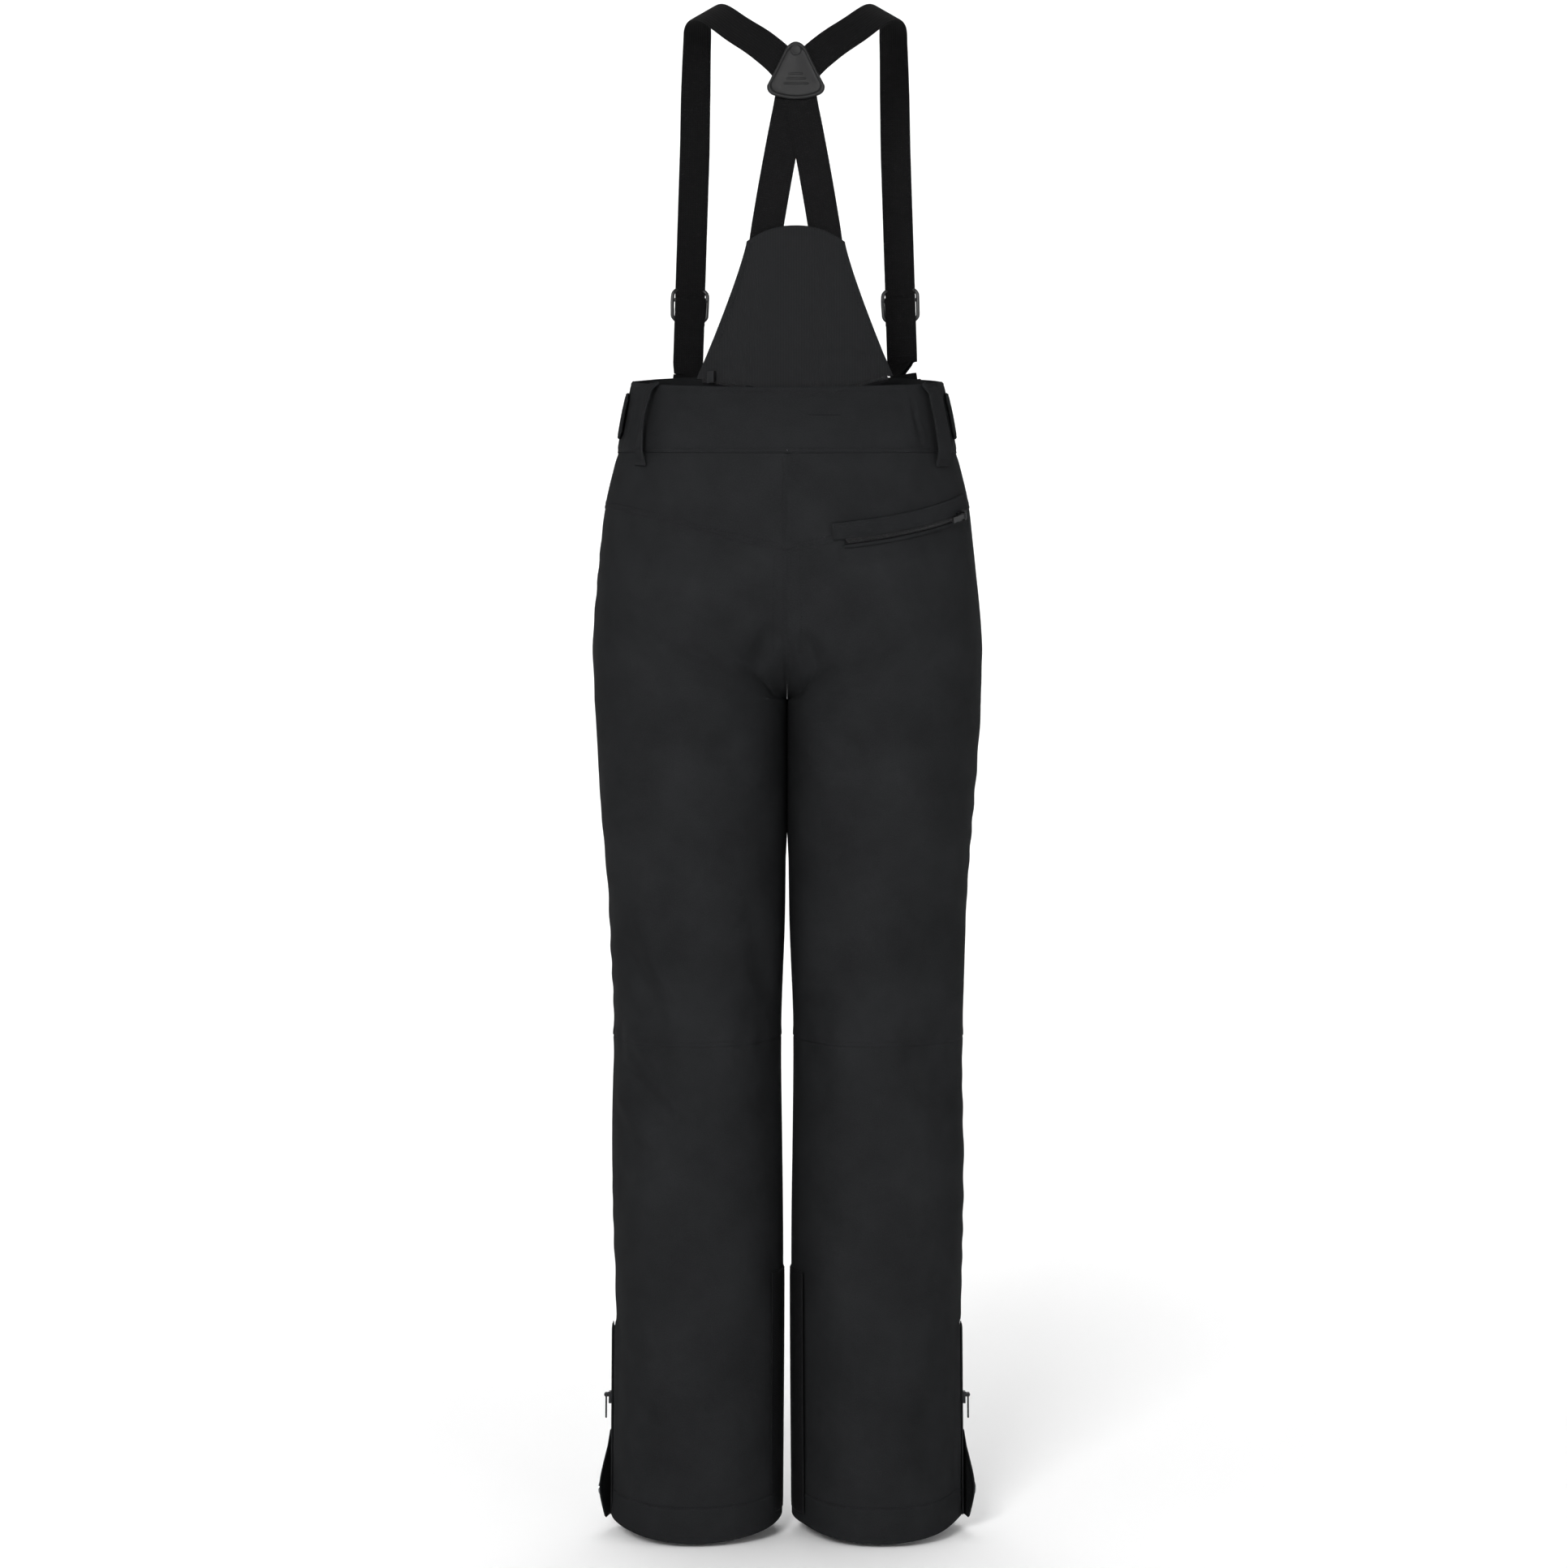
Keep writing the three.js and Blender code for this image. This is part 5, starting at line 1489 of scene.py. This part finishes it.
def strap_stations(side, over):
    at, up, foot_out = strap_foot(side)
    rows = [(at + up * 12 * MM + foot_out * (BAND_LIFT + 3.1 * MM), foot_out)]
    flat = unit(np.array([side * 0.2, 0.98, 0]))
    for z in (28, 36, 52, 62, 100, 150, 200, 226, 236):
        rows.append((brace([strap_x(z * MM), STRAP_Y, z * MM], side), flat))
    lift = 2.1 if over else 0.0
    for place, out in (
        ((98, 87, 290), (0.25, 0.9, 0.35)),
        ((96, 58, 335), (0.4, 0.45, 0.8)),
        ((93, 8, CREST_Z / MM - 7), (0.48, -0.05, 0.88)),
        ((80, -45, 345), (0.42, -0.5, 0.75)),
        ((54, -92, 319), (0.25, -0.85, 0.4)),
        ((30, -116 - lift, 298), (0.06, -0.98, 0.15)),
        ((12, -121 - lift, 281), (0, -1, 0.03)),
        ((-1, -121.5 - lift, 262), (0, -1, 0)),
        ((-7, -120.5 - lift, 236), (0, -1, -0.03)),
        ((-17, -115.5 - lift, 185), (0, -1, -0.08)),
    ):
        rows.append((brace(np.array(place) * MM, side), unit(np.array([out[0] * side, out[1], out[2]]))))
    for x, z in ((-25.5, 138), (-28, 122), (-30, 104)):
        p = bib_face(np.array(x * side * MM + BRACE_SHIFT), np.array(z * MM))
        p[1] += (1.8 + 0.5 + 2.05 + (0 if over else 2.1)) * MM
        rows.append((p, unit(np.array([0, -1, -0.07]))))
    return np.array([np.concatenate(r) for r in rows])


def spline(rows, step):
    """Even points on the centripetal curve through the stations."""
    p = rows[:, :3]
    p = np.concatenate([[2 * p[0] - p[1]], p, [2 * p[-1] - p[-2]]])
    points, outs = [], []
    for k in range(len(rows) - 1):
        p0, p1, p2, p3 = p[k : k + 4]
        d = [max(1e-6, np.linalg.norm(b - a) ** 0.5) for a, b in ((p0, p1), (p1, p2), (p2, p3))]
        m1 = ((p1 - p0) / d[0] - (p2 - p0) / (d[0] + d[1]) + (p2 - p1) / d[1]) * d[1]
        m2 = ((p2 - p1) / d[1] - (p3 - p1) / (d[1] + d[2]) + (p3 - p2) / d[2]) * d[1]
        for t in np.linspace(0, 1, max(2, round(np.linalg.norm(p2 - p1) / step)), endpoint=False):
            points.append(
                p1 * (2 * t**3 - 3 * t**2 + 1) + p2 * (3 * t**2 - 2 * t**3)
                + m1 * (t**3 - 2 * t**2 + t) + m2 * (t**3 - t**2)
            )
            outs.append(mix(rows[k, 3:], rows[k + 1, 3:], t))
    points.append(rows[-1, :3])
    outs.append(rows[-1, 3:])
    return np.array(points), unit(np.array(outs))


def webbing(name, path, outs, wide, thick, around=24):
    return band(name, path, outs, wide, thick, WEBBING, "webbing", square=0.16, around=around)


def braces():
    for name, side in SIDES:
        over = side < 0
        path, outs = spline(strap_stations(side, over), 4 * MM)
        o = webbing("strap_%s_webbing" % name, path, outs, WEB_WIDE, WEB_THICK, around=28)
        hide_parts("strap_" + name)
        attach(o, "suspenders")
        ahead, out, across = frames(path, outs)
        # The layer that comes back down from the adjuster, on the inside.
        adjuster_z = 85 * MM
        inner = path[:, 2] < adjuster_z - 6 * MM
        inner &= path[:, 1] > 0
        k = np.where(inner)[0]
        back = path[k] - out[k] * (WEB_THICK + 1.3 * MM)
        wide, thick = WEB_WIDE - 0.6 * MM, WEB_THICK - 0.2 * MM
        r = webbing("strap_return_%s_webbing" % name, back, out[k], wide, thick, around=28)
        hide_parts("strap_return_" + name)
        top = brace([strap_x(adjuster_z), STRAP_Y, adjuster_z - 6 * MM], side)
        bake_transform(r)
        # The sewn fold below the adjuster: a short thick end, with a box of stitches.
        centre = int(np.argmin(np.abs(path[:, 2] - 44 * MM) + (path[:, 1] < 0)))
        for along_ in (-9, 9):
            at = path[centre] + ahead[centre] * along_ * MM
            row = at + across[centre] * np.linspace(-12, 12, 12)[:, None] * MM + out[centre] * 0.8 * MM
            sew(STITCHES["suspenders"], row, np.repeat(out[centre][None], 12, 0), pitch=2.4, length=2.2)
            row = row - out[centre] * (2 * WEB_THICK + 1.1 * MM)
            sew(STITCHES["suspenders"], row, np.repeat(-out[centre][None], 12, 0), pitch=2.4, length=2.2)
        adjuster(name, side, adjuster_z)
        # The webbing goes through the clip's slot and back up inside.
        at, up, foot_out = strap_foot(side)
        middle = at + foot_out * (BAND_LIFT + 3.1 * MM)
        turns = ((13, 0.0), (8, 0.2), (4.6, 0.0), (1.9, -0.8), (0.7, -2.4))
        turns += ((1.0, -3.4), (3.6, -4.6), (8, -4.2), (13, -3.2))
        line = [middle + up * u * MM + foot_out * (o + 1.2) * MM for u, o in turns]
        line = resample(np.array(line), 1.2 * MM)
        tangent = unit(np.gradient(line, axis=0))
        outs = np.cross(tangent, np.cross(foot_out, -up)) * -1.0
        loop = webbing("strap_loop_" + name, line, outs, WEB_WIDE - 0.4 * MM, 1.3 * MM)
        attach(loop, "suspenders")
        finish_node(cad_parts["strap_clip_" + name], GLOSS, 0.5)


def adjuster(name, side, z):
    """The sliding frame: a slim rounded loop of moulded plastic, a bar across it, and the webbing
    that turns round that bar and goes down inside again."""
    up = unit(np.array([-side * STRAP_SLOPE, 0, 1.0]))
    out = np.array([side * 0.2, 0.98, 0])
    out = unit(out - up * out.dot(up))
    across = np.cross(out, up)
    at = brace([strap_x(z), STRAP_Y, z], side)
    half_wide, half_high, corner = 17.4 * MM, 15.4 * MM, 6.5 * MM
    ring = []
    for k in range(4):
        cx = (half_wide - corner) * (1 if k in (0, 3) else -1)
        cz = (half_high - corner) * (1 if k < 2 else -1)
        for q in np.linspace(0, math.pi / 2, 9):
            turn = q + k * math.pi / 2
            ring.append((cx + corner * math.cos(turn), cz + corner * math.sin(turn)))
    ring = np.array(ring + ring[:1])
    # The sides close in on the webbing, and leave a small opening at the two top corners.
    pinch = 1.1 * MM * bell(ring[:, 1] + 2 * MM, 5 * MM)
    ring[:, 0] -= np.sign(ring[:, 0]) * pinch * (np.abs(ring[:, 0]) > half_wide - 2 * MM)
    lift = (2.2 * MM) * ease((half_wide - 1.6 * MM - np.abs(ring[:, 0])) / (5 * MM)) - 0.2 * MM
    line = at + across * ring[:, :1] + up * ring[:, 1:] + out * lift[:, None]
    fine = resample(line, 1.5 * MM)
    fine[-1] = fine[0]
    middle = unit(fine - at - out * ((fine - at) @ out)[:, None])
    plastic = (GLOSS, "gloss_plastic")
    loop = band("adjuster_%s_frame" % name, fine, middle, 3.8 * MM, 3.5 * MM, *plastic, square=0.7, around=14)
    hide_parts("adjuster_" + name)
    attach(loop, "adjuster_" + name)
    x = np.linspace(-17, 17, 24)[:, None] * MM
    deep = -2.9 * MM * (1 - ease((np.abs(x) - 15.0 * MM) / (2.6 * MM)))
    bar = at + across * x + up * 4.6 * MM + out * deep
    outs = np.repeat(out[None], 24, 0)
    o = band("adjuster_%s_bar" % name, bar, outs, 3.6 * MM, 1.8 * MM, *plastic, square=0.7, around=12)
    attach(o, "adjuster_" + name)
    turns = ((-20, -3.0), (-12, -3.3), (-4, -4.3), (2.5, -4.9), (6.3, -4.6), (7.6, -3.2), (6.6, -1.9))
    line = resample(np.array([at + up * u * MM + out * v * MM for u, v in turns]), 1.2 * MM)
    tangent = unit(np.gradient(line, axis=0))
    fold = webbing("adjuster_%s_webbing" % name, line, np.cross(across, tangent), WEB_WIDE, 1.3 * MM)
    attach(fold, "adjuster_" + name)


def finish_node(o, m, bevel, segments=3):
    """A CAD node that stays: a material, and small rounded edges."""
    o.data.materials.clear()
    o.data.materials.append(m)
    mod = o.modifiers.new("edges", "BEVEL")
    mod.width = bevel * MM
    mod.segments = segments
    mod.limit_method = "ANGLE"
    mod.angle_limit = math.radians(35)
    mod.harden_normals = False


braces()


def cross_patch():
    """The moulded patch on the crossing: a rounded triangle with a raised rim, grip ribs and a nub."""
    b0, b1 = low("cross_patch"), high("cross_patch")
    centre = (b0 + b1) / 2
    half = (b1[0] - b0[0]) / 2 - 0.7 * MM
    front, back = b0[1], b1[1]
    r = 9 * MM

    def quad(p, q, s, count):
        t = np.linspace(0, 1, count, endpoint=False)[:, None]
        return (1 - t) ** 2 * np.array(p) + 2 * t * (1 - t) * np.array(q) + t * t * np.array(s)

    h = half
    outline = np.concatenate([
        quad((-h + r, -h + 2 * MM), (0, -h - 3 * MM), (h - r, -h + 2 * MM), 26),
        quad((h - r, -h + 2 * MM), (h + MM, -h + 4 * MM), (h, -h + r + 3 * MM), 12),
        quad((h, -h + r + 3 * MM), (h - 7.5 * MM, 0), (9 * MM, h - 6 * MM), 26),
        quad((9 * MM, h - 6 * MM), (0, h + 5 * MM), (-9 * MM, h - 6 * MM), 16),
        quad((-9 * MM, h - 6 * MM), (-h + 7.5 * MM, 0), (-h, -h + r + 3 * MM), 26),
        quad((-h, -h + r + 3 * MM), (-h - MM, -h + 4 * MM), (-h + r, -h + 2 * MM), 12),
    ])
    middle = np.array([0, -4 * MM])
    # Rings from the rim inwards: (share of the way out, depth behind the front).
    rings = [(1.0, 3.2), (1.02, 2.4), (1.025, 1.3), (1.01, 0.5), (0.975, 0.1), (0.945, 0.0)]
    rings += [(0.915, 0.15), (0.89, 0.75), (0.87, 1.25), (0.84, 1.4)]
    rings += [(0.7, 1.25), (0.5, 1.0), (0.3, 0.8), (0.12, 0.72)]
    verts = []
    for share, depth in rings:
        for x, z in outline:
            q = middle + (np.array([x, z]) - middle) * share
            verts.append((centre[0] + q[0], front + min(depth * MM, back - front), centre[2] + q[1]))
    n = len(outline)
    faces = []
    for i in range(len(rings) - 1):
        for j in range(n):
            k = (j + 1) % n
            faces.append((i * n + j, i * n + k, (i + 1) * n + k, (i + 1) * n + j))
    faces.append([(len(rings) - 1) * n + j for j in range(n)])
    faces.append(list(range(n))[::-1])
    o = make("cross_patch_moulding", verts, faces, MOULDED)
    outward_faces(o)
    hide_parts("cross_patch")
    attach(o, "suspenders")
    # Three plain grip ribs, and the nub at its head.
    for k, (z, half_long) in enumerate(((-12.5, 12), (-8, 9.5), (-3.5, 7))):
        x = np.linspace(-half_long, half_long, 16) * MM
        line = np.stack([centre[0] + x, 0 * x + front + 0.75 * MM, 0 * x + centre[2] + z * MM], -1)
        ridge = band(
            f"cross_patch_rib_{k}", line, np.repeat([[0, -1.0, 0]], 16, 0), 1.8 * MM, 1.5 * MM,
            MOULDED, "moulded_patch", square=0.8, around=12, taper=2 * MM,
        )
        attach(ridge, "suspenders")
    nub = [(0.1, -1.4), (5.2, -1.4), (5.2, -0.2), (4.7, 0.35)]
    nub += [(3.7, 0.5), (3.0, 0.25), (2.2, 0.15), (0.1, 0.1)]
    at = np.array([centre[0], front + 0.4 * MM, centre[2] + h - 7.5 * MM])
    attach(lathe("cross_patch_nub", nub, at, np.array([0, -1.0, 0]), MOULDED), "suspenders")


cross_patch()


# ---- the CAD pieces that stay --------------------------------------------------------------------
for node_name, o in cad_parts.items():
    if node_name.endswith("_slider") or node_name.endswith("_puller"):
        finish_node(o, GUNMETAL, 0.3, 2)

for key, bits in STITCHES.items():
    if not bits.verts:
        continue
    o = bits.build("stitches_" + key, THREAD, "trim")
    if key.startswith("hip"):
        hip_bend(o)
    elif key.startswith("knee"):
        knee_bend(o)
    else:
        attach(o, key)


# ---- studio --------------------------------------------------------------------------------------
def studio():
    floor_z = float(cad_box[0][2]) - 4 * MM
    profile = [(0.5, 0.0), (2.0, 0.0), (5.0, 0.0), (7.0, 0.0)]
    for k in range(1, 13):
        turn = math.pi / 2 * k / 12
        profile.append((7.0 + 2.0 * math.sin(turn), 2.0 * (1 - math.cos(turn))))
    profile.append((9.0, 8.0))
    around = 72
    verts, faces = [], []
    for r, z in profile:
        for q in range(around):
            turn = 2 * math.pi * q / around
            verts.append((r * math.cos(turn), r * math.sin(turn), floor_z + z))
    for k in range(len(profile) - 1):
        for q in range(around):
            w = (q + 1) % around
            faces.append((k * around + q, k * around + w, (k + 1) * around + w, (k + 1) * around + q))
    faces.append(list(range(around))[::-1])
    mesh = bpy.data.meshes.new("backdrop")
    mesh.from_pydata(verts, [], [f[::-1] for f in faces])
    mesh.polygons.foreach_set("use_smooth", [True] * len(faces))
    m, tree, shader = material("paper", (0.93, 0.93, 0.93), 0.9, spec=0.1)
    grain = noise(tree, solid_space(tree), 60, 3)
    bump(tree, shader, grain, 0.1 * MM, 0.2)
    mesh.materials.append(m)
    floor = bpy.data.objects.new("backdrop", mesh)
    bpy.context.collection.objects.link(floor)

    world = bpy.data.worlds.new("studio")
    bpy.context.scene.world = world
    world.use_nodes = True
    sky = world.node_tree.nodes["Background"]
    sky.inputs["Color"].default_value = (1, 1, 1, 1)
    sky.inputs["Strength"].default_value = 0.26

    def softbox(name, at, aim, size, watts):
        light = bpy.data.lights.new(name, "AREA")
        light.shape = "RECTANGLE"
        light.size, light.size_y = size
        light.energy = watts
        o = bpy.data.objects.new(name, light)
        o.location = at
        o.rotation_euler = (Vector(aim) - Vector(at)).to_track_quat("-Z", "Y").to_euler()
        bpy.context.collection.objects.link(o)

    softbox("key", (-0.9, -4.2, 0.9), (0, 0, -0.45), (1.1, 1.1), 170)
    softbox("fill", (1.5, -4.0, -0.3), (0, 0, -0.5), (1.0, 1.6), 30)
    softbox("floor", (0, 2.6, 3.6), (0, 1.9, -1.1), (3.0, 3.0), 85)
    # Wall lights, well clear of the object, that keep the backdrop pale from every side.
    for k in range(6):
        turn = math.pi / 6 + k * math.pi / 3
        x, y = math.cos(turn), math.sin(turn)
        softbox(f"wall_{k}", (4.2 * x, 4.2 * y, 3.6), (9 * x, 9 * y, -0.6), (2.4, 1.6), 105)

    camera = bpy.data.objects.new("camera", bpy.data.cameras.new("camera"))
    camera.data.sensor_width = 36
    camera.data.lens = 83.6
    camera.data.clip_end = 60
    camera.location = (-0.003, -3.5, -0.387)
    camera.rotation_euler = (math.pi / 2, 0, 0)
    bpy.context.collection.objects.link(camera)
    bpy.context.scene.camera = camera
    bpy.context.scene.view_settings.view_transform = "Standard"


studio()
